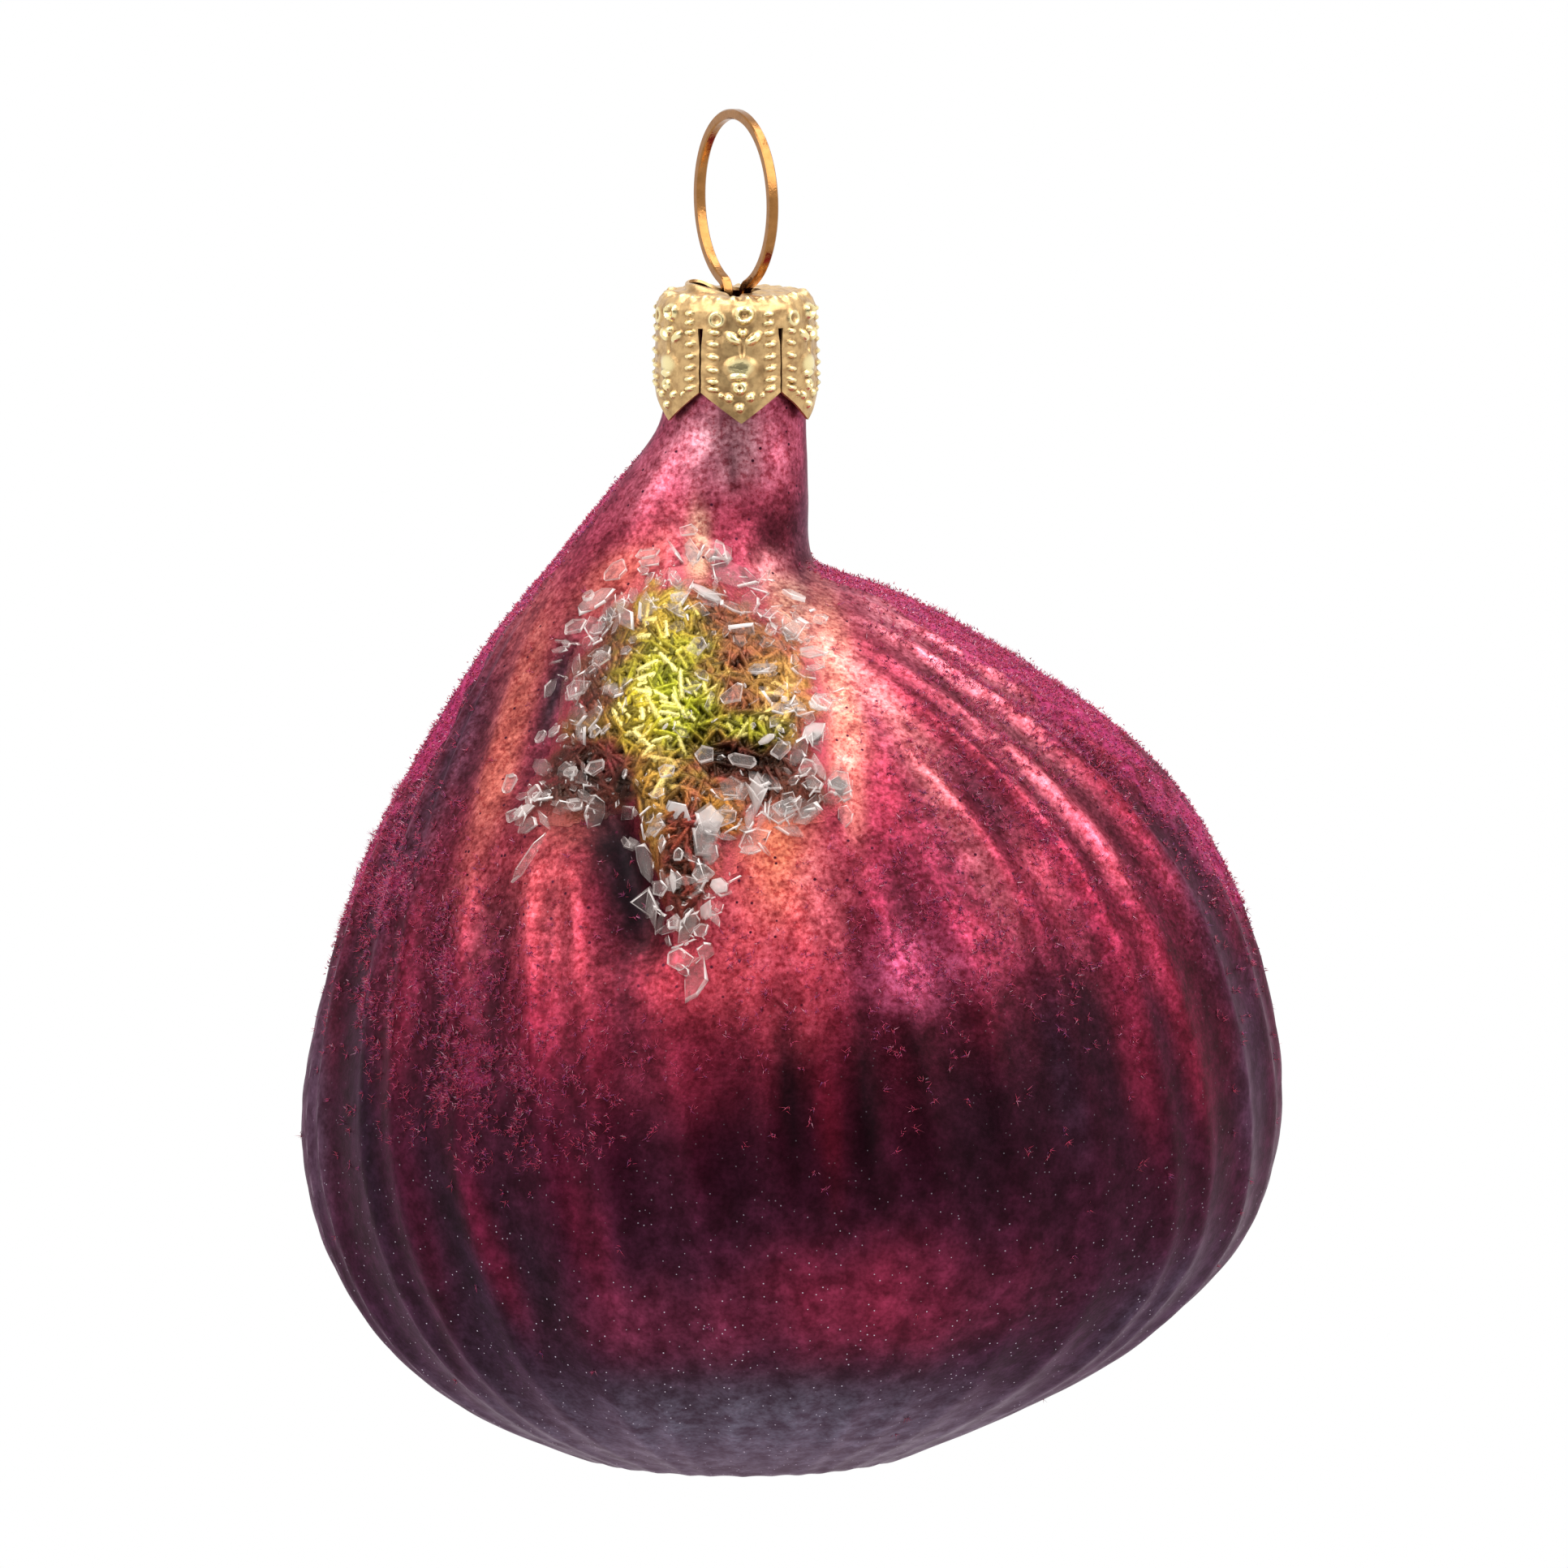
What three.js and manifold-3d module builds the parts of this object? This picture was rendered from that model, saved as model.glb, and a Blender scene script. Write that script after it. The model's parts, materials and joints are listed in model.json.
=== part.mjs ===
// Blown glass fig ornament with a stamped crown cap and a sprung wire hanger.
// Millimetres, +Z up. The origin is the inside top of the hanging loop, where a hook or ribbon bears.
// The front of the fig, with its glued star of crushed glass, faces -Y.
import * as THREE from "three";
import { mergeVertices } from "three/addons/utils/BufferGeometryUtils.js";
import Module from "manifold-3d";

const wasm = await Module();
wasm.setup();

const DEG = Math.PI / 180;

// Clearances
const SEAT_GAP = 0.3; // between pieces that rest on or grip each other
const HOLE_PLAY = 0.3; // round the two wires in the cap's hole

// Hanger wire
const WIRE = 0.65; // thickness of the drawn wire
const LOOP_BORE = 10.7; // clear width inside the round loop
const LOOP_TURN = -65; // degrees that the loop is turned on the neck from facing the front
const LOOP_OPENING = 20; // degrees each side of the loop's bottom where the wire leaves the circle
const WIRE_BEND = 0.9; // radius of the tight bends
const LEG_SPLAY = 40; // degrees that the legs spread below the cap
const LEG_EASE = 1.5; // radius where a leg turns down along the neck wall
const LEG_STRAIGHT = 12.4; // length of leg that grips the neck wall
const LEG_TIP = 0.8; // length of the turned-in tip
const TIP_TURN = 25; // degrees that the tip turns inwards

// Crown cap
const CAP_SHEET = 0.25;
const CAP_HEIGHT = 8.5; // from the top face to the petal tips
const CAP_ROLL = 0.9; // radius of the rolled shoulder
const CAP_BULGE = 0.12; // how far the petals swell half way down
const CAP_DROP = 0.55; // from the bottom of the loop's opening to the cap's top face
const CAP_DIMPLE = 0.3; // depth of the dished middle where the wires go in
const PETALS = 6;
const SLIT_TOP = 2.0; // from the top face to where the slits begin
const SLIT_WIDTH = 0.3;
const PETAL_POINT = 2.0; // height of each petal's pointed end
const CAP_TURN = 4; // degrees that the front petal stands to the right of straight ahead

// Glass
const WALL = 0.7;
const NECK_RADIUS = 4.6;
const BODY_HEIGHT = 70; // from the end of the straight neck to the base
const REACH_LEFT = 28.5; // from the neck's axis to the widest point on the left
const REACH_RIGHT = 35.8;
const REACH_DEPTH = 29.3; // to the front and to the back
const BASE_DIMPLE = 0.6;
const BASE_SHIFT = 0.4; // of the base's middle from the neck's axis
const FLUTES = 36;
const FLUTE_DEPTH = 0.8; // from crest to valley
const FLUTE_TWIST = 2.5; // degrees that the pleats turn about the neck's axis from one station to the next
const FLUTE_STATION = 9; // station where the first crest stands half a pitch from +X
const WORN_ANGLE = -80; // degrees from +X to the middle of a patch low on the front, worn nearly smooth
const WORN_TURN = 28; // degrees from the middle of that patch to its side
const WORN_STATION = 12.2; // and the station of its middle
const WORN_STATIONS = 1.6; // and how many stations it reaches up and down
const WORN_SHARE = 0.7; // share of the pleats' depth that is gone there

// Star of crushed glass
const STAR_X = -4; // of its middle, from the neck's axis
const STAR_DROP = 17.7; // of its middle, below the straight neck
const STAR_REACH = 15.4; // from its middle to the end of its longest arm
const STAR_RELIEF = 1.4; // depth of its deepest hollow
const GLUE_THICK = 0.4;
const SHARD_THICK = 0.32;

const capTop = -LOOP_BORE - CAP_DROP;
const neckTop = capTop - CAP_SHEET - CAP_DIMPLE - SEAT_GAP;
const neckEnd = capTop - CAP_HEIGHT + SEAT_GAP;
const boreRadius = NECK_RADIUS - WALL;
const legOffset = boreRadius - SEAT_GAP - WIRE / 2;
const starZ = neckEnd - STAR_DROP;

const gold = new THREE.MeshStandardMaterial({ color: 0xd9b36a, roughness: 0.3, metalness: 1 });
const brassWire = new THREE.MeshStandardMaterial({ color: 0xb07f4a, roughness: 0.28, metalness: 1 });
const lacqueredGlass = new THREE.MeshStandardMaterial({ color: 0x6d1733, roughness: 0.38, metalness: 0.5 });
const glue = new THREE.MeshStandardMaterial({ color: 0x9aa321, roughness: 0.3, metalness: 0.2 });
const clearGlass = new THREE.MeshStandardMaterial({ color: 0xdcd2d6, roughness: 0.05, metalness: 0 });

const object = new THREE.Group();

function add(name, geometry, material) {
  const mesh = new THREE.Mesh(geometry, material);
  mesh.name = name;
  object.add(mesh);
  return mesh;
}

// Repeatable scatter between -1 and 1
function scatter(index, salt) {
  const s = Math.sin(index * 127.1 + salt * 311.7) * 43758.5453;
  return 2 * (s - Math.floor(s)) - 1;
}

function solidOf(geometry) {
  const bare = new THREE.BufferGeometry();
  bare.setAttribute("position", geometry.getAttribute("position"));
  if (geometry.index) bare.setIndex(geometry.index);
  const merged = mergeVertices(bare, 1e-4);
  return new wasm.Manifold(
    new wasm.Mesh({
      numProp: 3,
      vertProperties: new Float32Array(merged.attributes.position.array),
      triVerts: new Uint32Array(merged.index.array),
    }),
  );
}

function geometryOf(solid) {
  const mesh = solid.getMesh();
  const geometry = new THREE.BufferGeometry();
  geometry.setAttribute("position", new THREE.BufferAttribute(mesh.vertProperties, mesh.numProp));
  geometry.setIndex(new THREE.BufferAttribute(mesh.triVerts, 1));
  geometry.computeVertexNormals();
  return geometry;
}

// Rows of points, each row one ring, between two poles. The rings run anticlockwise seen from above
// and the rows run downwards.
function ringedSolid(rows, topPole, bottomPole) {
  const columns = rows[0].length;
  const positions = [];
  const index = [];
  for (const row of rows) for (const p of row) positions.push(p.x, p.y, p.z);
  const top = positions.length / 3;
  positions.push(topPole.x, topPole.y, topPole.z);
  const bottom = top + 1;
  positions.push(bottomPole.x, bottomPole.y, bottomPole.z);
  for (let c = 0; c < columns; c++) {
    const next = (c + 1) % columns;
    index.push(top, c, next);
    for (let r = 0; r < rows.length - 1; r++) {
      const a = r * columns + c;
      const b = r * columns + next;
      index.push(a, a + columns, b, b, a + columns, b + columns);
    }
    const last = (rows.length - 1) * columns;
    index.push(last + c, bottom, last + next);
  }
  const geometry = new THREE.BufferGeometry();
  geometry.setAttribute("position", new THREE.Float32BufferAttribute(positions, 3));
  geometry.setIndex(index);
  return geometry;
}

// The fig's skin is lofted between a left and a right rail, with a depth at each station.
// drop is the share of the body's height, and left, right and depth are shares of the reach
// beyond the neck.
const stations = [
  { dropLeft: 0, left: 0, dropRight: 0, right: 0, depth: 0 },
  { dropLeft: 0.037, left: 0.063, dropRight: 0.046, right: 0, depth: 0.012 },
  { dropLeft: 0.083, left: 0.185, dropRight: 0.091, right: 0.002, depth: 0.057 },
  { dropLeft: 0.137, left: 0.305, dropRight: 0.131, right: 0.008, depth: 0.138 },
  { dropLeft: 0.18, left: 0.405, dropRight: 0.146, right: 0.04, depth: 0.231 },
  { dropLeft: 0.227, left: 0.502, dropRight: 0.168, right: 0.18, depth: 0.34 },
  { dropLeft: 0.288, left: 0.612, dropRight: 0.226, right: 0.42, depth: 0.51 },
  { dropLeft: 0.347, left: 0.718, dropRight: 0.29, right: 0.632, depth: 0.68 },
  { dropLeft: 0.414, left: 0.82, dropRight: 0.362, right: 0.795, depth: 0.81 },
  { dropLeft: 0.5, left: 0.912, dropRight: 0.457, right: 0.917, depth: 0.919 },
  { dropLeft: 0.601, left: 0.979, dropRight: 0.587, right: 0.99, depth: 0.988 },
  { dropLeft: 0.687, left: 1, dropRight: 0.687, right: 0.989, depth: 1 },
  { dropLeft: 0.774, left: 0.95, dropRight: 0.774, right: 0.921, depth: 0.947 },
  { dropLeft: 0.866, left: 0.808, dropRight: 0.863, right: 0.737, depth: 0.802 },
  { dropLeft: 0.94, left: 0.568, dropRight: 0.935, right: 0.485, depth: 0.551 },
  { dropLeft: 0.992, left: 0.244, dropRight: 0.992, right: 0.215, depth: 0.239 },
];
const rowsPerStation = [1, 2, 2, 3, 3, 3, 3, 3, 2, 2, 2, 2, 2, 3, 2];
const LAST = stations.length - 1;

const leftRail = new THREE.SplineCurve(
  stations.map((s) => new THREE.Vector2(
    -(NECK_RADIUS + s.left * (REACH_LEFT - NECK_RADIUS)), neckEnd - s.dropLeft * BODY_HEIGHT)),
);
const rightRail = new THREE.SplineCurve(
  stations.map((s) => new THREE.Vector2(
    NECK_RADIUS + s.right * (REACH_RIGHT - NECK_RADIUS), neckEnd - s.dropRight * BODY_HEIGHT)),
);
const depthRail = new THREE.SplineCurve(
  stations.map((s, i) => new THREE.Vector2(
    NECK_RADIUS + s.depth * (REACH_DEPTH - NECK_RADIUS), i)),
);

// A point on the smooth skin, at a station and an angle from +X
function skinPoint(station, angle) {
  const share = station / LAST;
  const left = leftRail.getPoint(share);
  const right = rightRail.getPoint(share);
  const depth = depthRail.getPoint(share).x;
  const c = Math.cos(angle);
  return new THREE.Vector3(
    (left.x + right.x) / 2 + ((right.x - left.x) / 2) * c,
    depth * Math.sin(angle),
    (left.y + right.y) / 2 + ((right.y - left.y) / 2) * c,
  );
}

function skinNormal(station, angle) {
  const step = 0.01;
  const low = Math.max(station - step, 0);
  const high = Math.min(station + step, LAST);
  const down = skinPoint(high, angle).sub(skinPoint(low, angle));
  const round = skinPoint(station, angle + step).sub(skinPoint(station, angle - step));
  return down.cross(round).normalize();
}

// The star's ragged edge: direction in degrees, and reach as a share of the longest arm's
const starEdge = [
  [-86, 1], [-73, 0.71], [-63, 0.67], [-47, 0.65], [-27, 0.8], [-13, 0.67], [7, 0.65], [29, 0.63], [48, 0.58],
  [63, 0.56], [76, 0.6], [94, 0.55], [119, 0.49], [137, 0.46], [160, 0.475], [185, 0.48], [200, 0.56],
  [215, 0.8], [229, 0.58], [245, 0.42], [258, 0.56], [266, 0.73], [274, 1],
];

function starRadius(angle) {
  const first = starEdge[0][0];
  const degrees = first + THREE.MathUtils.euclideanModulo(angle / DEG - first, 360);
  const i = starEdge.findIndex(([direction]) => direction > degrees);
  const [[a, reachA], [b, reachB]] = [starEdge[i - 1], starEdge[i]];
  return STAR_REACH * THREE.MathUtils.mapLinear(degrees, a, b, reachA, reachB);
}

// Hollows and ridges that are blown into the star, as strokes between two places [x, z]. Places
// and widths are shares of the longest arm, heights are shares of the deepest hollow.
const strokes = [
  { from: [-0.33, 0.3], to: [-0.6, -0.3], wide: 0.123, high: -0.64 }, // shadowed valley on the left
  { from: [-0.26, -0.43], to: [-0.12, -0.84], wide: 0.115, high: -1 }, // leaf-shaped hollow below
  { from: [-0.4, -0.27], to: [-0.33, -0.21], wide: 0.123, high: -0.86 }, // pocket under the left arm
  { from: [0.12, -0.16], to: [0.34, -0.21], wide: 0.117, high: -0.86 }, // pocket under the right arm
  { from: [0.06, 0.49], to: [-0.03, -0.03], wide: 0.156, high: 0.57 }, // upper arm
  { from: [-0.03, -0.26], to: [0.06, -0.78], wide: 0.11, high: 0.5 }, // lower arm
  { from: [-0.14, -0.05], to: [-0.58, -0.4], wide: 0.104, high: 0.29 }, // left arm
  { from: [0.15, 0.04], to: [0.58, -0.1], wide: 0.117, high: 0.36 }, // right arm
  { from: [-0.04, 0.94], to: [-0.16, 0.8], wide: 0.1, high: 0.24 }, // lobe on the left of the neck
  { from: [0.44, 0.94], to: [0.45, 0.8], wide: 0.1, high: 0.24 }, // lobe on the right of the neck
];

function reliefOf(stroke, x, z, spread) {
  const a = new THREE.Vector2(...stroke.from).multiplyScalar(STAR_REACH);
  const b = new THREE.Vector2(...stroke.to).multiplyScalar(STAR_REACH).sub(a);
  const p = new THREE.Vector2(x - STAR_X, z - starZ).sub(a);
  const along = THREE.MathUtils.clamp(p.dot(b) / b.lengthSq(), 0, 1);
  const away = p.sub(b.multiplyScalar(along)).length();
  return stroke.high * STAR_RELIEF * Math.exp(-((away / (stroke.wide * STAR_REACH + spread)) ** 2));
}

function strokeRelief(x, z) {
  return strokes.reduce((sum, stroke) => sum + reliefOf(stroke, x, z, 0), 0);
}

// The wall stays thick enough behind the hollows, so inside they are broader and nothing rises
function innerRelief(x, z) {
  const hollows = strokes.filter((stroke) => stroke.high < 0);
  return hollows.reduce((sum, stroke) => sum + reliefOf(stroke, x, z, 2 * WALL), 0);
}

// The pleats fade in below the neck and out again towards the base
function fluteFade(station) {
  const { smoothstep } = THREE.MathUtils;
  return smoothstep(station, 3, 7) * (1 - 0.7 * smoothstep(station, LAST - 3, LAST));
}

function wornFade(station, angle) {
  const off = angle - WORN_ANGLE * DEG;
  const across = Math.atan2(Math.sin(off), Math.cos(off)) / (WORN_TURN * DEG);
  const down = (station - WORN_STATION) / WORN_STATIONS;
  return 1 - WORN_SHARE * Math.exp(-(across * across + down * down));
}

// On the front they start at the star's edge
function starFade(p) {
  if (p.y > 0) return 1;
  const away = Math.hypot(p.x - STAR_X, p.z - starZ);
  const edge = starRadius(Math.atan2(p.z - starZ, p.x - STAR_X));
  return THREE.MathUtils.smoothstep(away / edge, 1.15, 2);
}

// Each pleat is three columns wide: a sharp crest and a broad valley. The crests are unevenly
// spaced and unevenly high, and wind a little round the body on their way down.
const COLUMNS_PER_FLUTE = 3;

function columnAngle(column, station) {
  const flute = Math.floor(column / COLUMNS_PER_FLUTE);
  const part = column % COLUMNS_PER_FLUTE;
  const moved = part === 0 ? 0.22 * scatter(flute, 1) : 0;
  const pitch = (2 * Math.PI) / FLUTES;
  const twist = FLUTE_TWIST * DEG * (station - FLUTE_STATION);
  return (flute + 1 / 2 + part / COLUMNS_PER_FLUTE + moved) * pitch + twist;
}

function fluteLift(column) {
  const flute = Math.floor(column / COLUMNS_PER_FLUTE);
  const crest = column % COLUMNS_PER_FLUTE === 0 ? 1 : 0;
  return (crest * (0.8 + 0.2 * scatter(flute, 2)) - 1 / 2) * FLUTE_DEPTH;
}

function outerPoint(station, column) {
  const angle = columnAngle(column, station);
  const p = skinPoint(station, angle);
  const front = p.y < 0 ? strokeRelief(p.x, p.z) : 0;
  const lift = fluteLift(column) * fluteFade(station) * wornFade(station, angle) * starFade(p) + front;
  return p.addScaledVector(skinNormal(station, angle), lift);
}

const INNER_COLUMNS = 36;

function innerPoint(station, column) {
  const angle = (column * 2 * Math.PI) / INNER_COLUMNS;
  const p = skinPoint(station, angle);
  const front = p.y < 0 ? innerRelief(p.x, p.z) : 0;
  const inset = WALL + (FLUTE_DEPTH / 2) * fluteFade(station) - front;
  return p.addScaledVector(skinNormal(station, angle), -inset);
}

function ring(columns, place) {
  return Array.from({ length: columns }, (_, column) => place(column));
}

function neckRing(columns, radius, z, angleOf) {
  return ring(columns, (c) => new THREE.Vector3(
    radius * Math.cos(angleOf(c)), radius * Math.sin(angleOf(c)), z));
}

function stationList(perStation) {
  const list = [];
  perStation.forEach((count, i) => {
    for (let k = 0; k < count; k++) list.push(i + k / count);
  });
  list.push(LAST);
  return list;
}

function glassBody() {
  const columns = COLUMNS_PER_FLUTE * FLUTES;
  const outerRows = [
    neckRing(columns, NECK_RADIUS, neckTop, (c) => columnAngle(c, 0)),
    ...stationList(rowsPerStation).map((s) => ring(columns, (c) => outerPoint(s, c))),
  ];
  const baseZ = neckEnd - BODY_HEIGHT + BASE_DIMPLE;
  const outer = ringedSolid(
    outerRows, new THREE.Vector3(0, 0, neckTop), new THREE.Vector3(BASE_SHIFT, 0, baseZ));

  const evenAngle = (c) => (c * 2 * Math.PI) / INNER_COLUMNS;
  const above = neckTop + 1;
  const innerRows = [
    neckRing(INNER_COLUMNS, boreRadius, above, evenAngle),
    ...stationList(stations.slice(1).map(() => 1)).map((s) => ring(INNER_COLUMNS, (c) => innerPoint(s, c))),
  ];
  const floorZ = baseZ + WALL + FLUTE_DEPTH;
  const inner = ringedSolid(
    innerRows, new THREE.Vector3(0, 0, above), new THREE.Vector3(BASE_SHIFT, 0, floorZ));
  return geometryOf(solidOf(outer).subtract(solidOf(inner)));
}

// A wire bent in one plane, written down as straight lengths and turns
class BentWire extends THREE.Curve {
  constructor(places, turn) {
    super();
    this.places = places;
    this.across = new THREE.Vector3(Math.cos(turn), Math.sin(turn), 0);
  }
  mix(t, of) {
    const at = THREE.MathUtils.clamp(t, 0, 1) * (this.places.length - 1);
    const i = Math.min(Math.floor(at), this.places.length - 2);
    const flat = of(this.places[i]).clone().lerp(of(this.places[i + 1]), at - i);
    return this.across.clone().multiplyScalar(flat.x).setZ(flat.y);
  }
  getPoint(t) {
    return this.mix(t, (place) => place.at);
  }
  getTangent(t) {
    return this.mix(t, (place) => place.heading).normalize();
  }
  getPointAt(t) {
    return this.getPoint(t);
  }
  getTangentAt(t) {
    return this.getTangent(t);
  }
}

class WireFormer {
  constructor(x, z, heading) {
    this.at = new THREE.Vector2(x, z);
    this.heading = heading * DEG;
    this.places = [];
    this.note();
  }
  note() {
    const heading = new THREE.Vector2(Math.cos(this.heading), Math.sin(this.heading));
    this.places.push({ at: this.at.clone(), heading });
  }
  straight(length) {
    this.at.add(new THREE.Vector2(Math.cos(this.heading), Math.sin(this.heading)).multiplyScalar(length));
    this.note();
  }
  // Positive turns are to the left of the way that the wire is going
  turn(radius, degrees, steps) {
    const side = Math.sign(degrees) * radius;
    const centre = this.at.clone().add(
      new THREE.Vector2(-Math.sin(this.heading), Math.cos(this.heading)).multiplyScalar(side));
    for (let i = 0; i < steps; i++) {
      this.heading += (degrees / steps) * DEG;
      this.at.copy(centre).add(
        new THREE.Vector2(Math.sin(this.heading), -Math.cos(this.heading)).multiplyScalar(side));
      this.note();
    }
  }
}

function hangerWire() {
  const half = new WireFormer(0, WIRE / 2, 0);
  half.turn(LOOP_BORE / 2 + WIRE / 2, LOOP_OPENING - 180, 15);
  half.turn(WIRE_BEND, 90 - LOOP_OPENING, 4);
  half.straight(half.at.y - (capTop - CAP_SHEET - CAP_DIMPLE));
  half.turn(WIRE_BEND, LEG_SPLAY, 3);
  const eased = legOffset - LEG_EASE * (1 - Math.cos(LEG_SPLAY * DEG));
  half.straight((eased - half.at.x) / Math.sin(LEG_SPLAY * DEG));
  half.turn(LEG_EASE, -LEG_SPLAY, 3);
  half.straight(LEG_STRAIGHT);
  half.turn(LEG_EASE, -TIP_TURN, 2);
  half.straight(LEG_TIP);

  const mirrored = half.places.slice(1).reverse().map((place) => ({
    at: new THREE.Vector2(-place.at.x, place.at.y),
    heading: new THREE.Vector2(place.heading.x, -place.heading.y),
  }));
  const curve = new BentWire([...mirrored, ...half.places], LOOP_TURN * DEG);
  const section = new THREE.Shape();
  const flat = WIRE / 2;
  const corner = flat * 0.45;
  section.moveTo(flat, -corner);
  section.lineTo(flat, corner);
  section.lineTo(corner, flat);
  section.lineTo(-corner, flat);
  section.lineTo(-flat, corner);
  section.lineTo(-flat, -corner);
  section.lineTo(-corner, -flat);
  section.lineTo(corner, -flat);
  return new THREE.ExtrudeGeometry(section, { steps: curve.places.length - 1, extrudePath: curve });
}

const wirePassage = (() => {
  const bottomOfLoop = (LOOP_BORE + WIRE) / 2;
  const leaves = bottomOfLoop * Math.sin(LOOP_OPENING * DEG);
  return leaves - WIRE_BEND * (1 - Math.sin(LOOP_OPENING * DEG));
})();

function crownCap() {
  const holeRadius = wirePassage + WIRE / 2 + HOLE_PLAY;
  const inner = NECK_RADIUS + SEAT_GAP;
  const outer = inner + CAP_SHEET;
  const low = capTop - CAP_HEIGHT;
  const dishEdge = (holeRadius + outer - CAP_ROLL) / 2;
  const profile = new THREE.Path();
  profile.moveTo(holeRadius, capTop - CAP_DIMPLE);
  profile.lineTo(dishEdge, capTop);
  profile.lineTo(outer - CAP_ROLL, capTop);
  profile.absarc(outer - CAP_ROLL, capTop - CAP_ROLL, CAP_ROLL, 90 * DEG, 0, true);
  profile.lineTo(outer + CAP_BULGE, (capTop + low) / 2);
  profile.lineTo(outer, low);
  profile.lineTo(inner, low);
  profile.lineTo(inner + CAP_BULGE, (capTop + low) / 2);
  profile.lineTo(inner, capTop - CAP_ROLL);
  profile.absarc(outer - CAP_ROLL, capTop - CAP_ROLL, CAP_ROLL - CAP_SHEET, 0, 90 * DEG, false);
  profile.lineTo(dishEdge, capTop - CAP_SHEET);
  profile.lineTo(holeRadius, capTop - CAP_SHEET - CAP_DIMPLE);
  profile.closePath();
  const outline = profile.getPoints(4).reverse();
  let cap = solidOf(new THREE.LatheGeometry(outline, PETALS * 8).rotateX(90 * DEG));

  // A slit, widening below into the gap between two petal points
  const pitch = (2 * Math.PI * outer) / PETALS;
  const slit = new THREE.Shape();
  slit.moveTo(-SLIT_WIDTH / 2, capTop - SLIT_TOP);
  slit.lineTo(-SLIT_WIDTH / 2, low + PETAL_POINT);
  slit.lineTo(-pitch / 2 + SLIT_WIDTH, low);
  slit.lineTo(-pitch / 2 + SLIT_WIDTH, low - 1);
  slit.lineTo(pitch / 2 - SLIT_WIDTH, low - 1);
  slit.lineTo(pitch / 2 - SLIT_WIDTH, low);
  slit.lineTo(SLIT_WIDTH / 2, low + PETAL_POINT);
  slit.lineTo(SLIT_WIDTH / 2, capTop - SLIT_TOP);
  const cutter = new THREE.ExtrudeGeometry(slit, { depth: outer, bevelEnabled: false });
  cutter.rotateX(90 * DEG).translate(0, -2 * CAP_SHEET, 0);
  for (let k = 0; k < PETALS; k++) {
    const turned = cutter.clone().rotateZ(((k + 0.5) * 2 * Math.PI) / PETALS + CAP_TURN * DEG);
    cap = cap.subtract(solidOf(turned));
  }
  return geometryOf(cap);
}

// The place on the front skin that is seen at x, z from straight ahead
function frontPlace(x, z) {
  let low = 0;
  let high = LAST;
  let angle = -90 * DEG;
  for (let i = 0; i < 40; i++) {
    const station = (low + high) / 2;
    const rightMost = skinPoint(station, 0);
    const leftMost = skinPoint(station, Math.PI);
    const c = (2 * x - rightMost.x - leftMost.x) / (rightMost.x - leftMost.x);
    angle = -Math.acos(THREE.MathUtils.clamp(c, -1, 1));
    if (skinPoint(station, angle).z > z) low = station;
    else high = station;
  }
  const station = (low + high) / 2;
  const normal = skinNormal(station, angle);
  const point = skinPoint(station, angle);
  point.addScaledVector(normal, strokeRelief(point.x, point.z));
  return { point, normal };
}

function glueStar() {
  // A column of points at each place of the star's edge, and one half way to the next
  const directions = starEdge.slice(1).flatMap(([to], i) => [starEdge[i][0], (starEdge[i][0] + to) / 2]);
  const columns = directions.length;
  const shares = [1, 0.8, 0.6, 0.4, 0.2];
  const level = (share, angle, lift) => {
    const radius = share * starRadius(angle);
    const { point, normal } = frontPlace(STAR_X + radius * Math.cos(angle), starZ + radius * Math.sin(angle));
    return point.addScaledVector(normal, lift);
  };
  const angleOf = (c) => directions[c] * DEG;
  const under = SEAT_GAP;
  const over = SEAT_GAP + GLUE_THICK;
  const rows = [
    ...[...shares].reverse().map((share) => ring(columns, (c) => level(share, angleOf(c), over))),
    ...shares.map((share) => ring(columns, (c) => level(share, angleOf(c), under))),
  ];
  return ringedSolid(rows, level(0, 0, over), level(0, 0, under));
}

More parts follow.
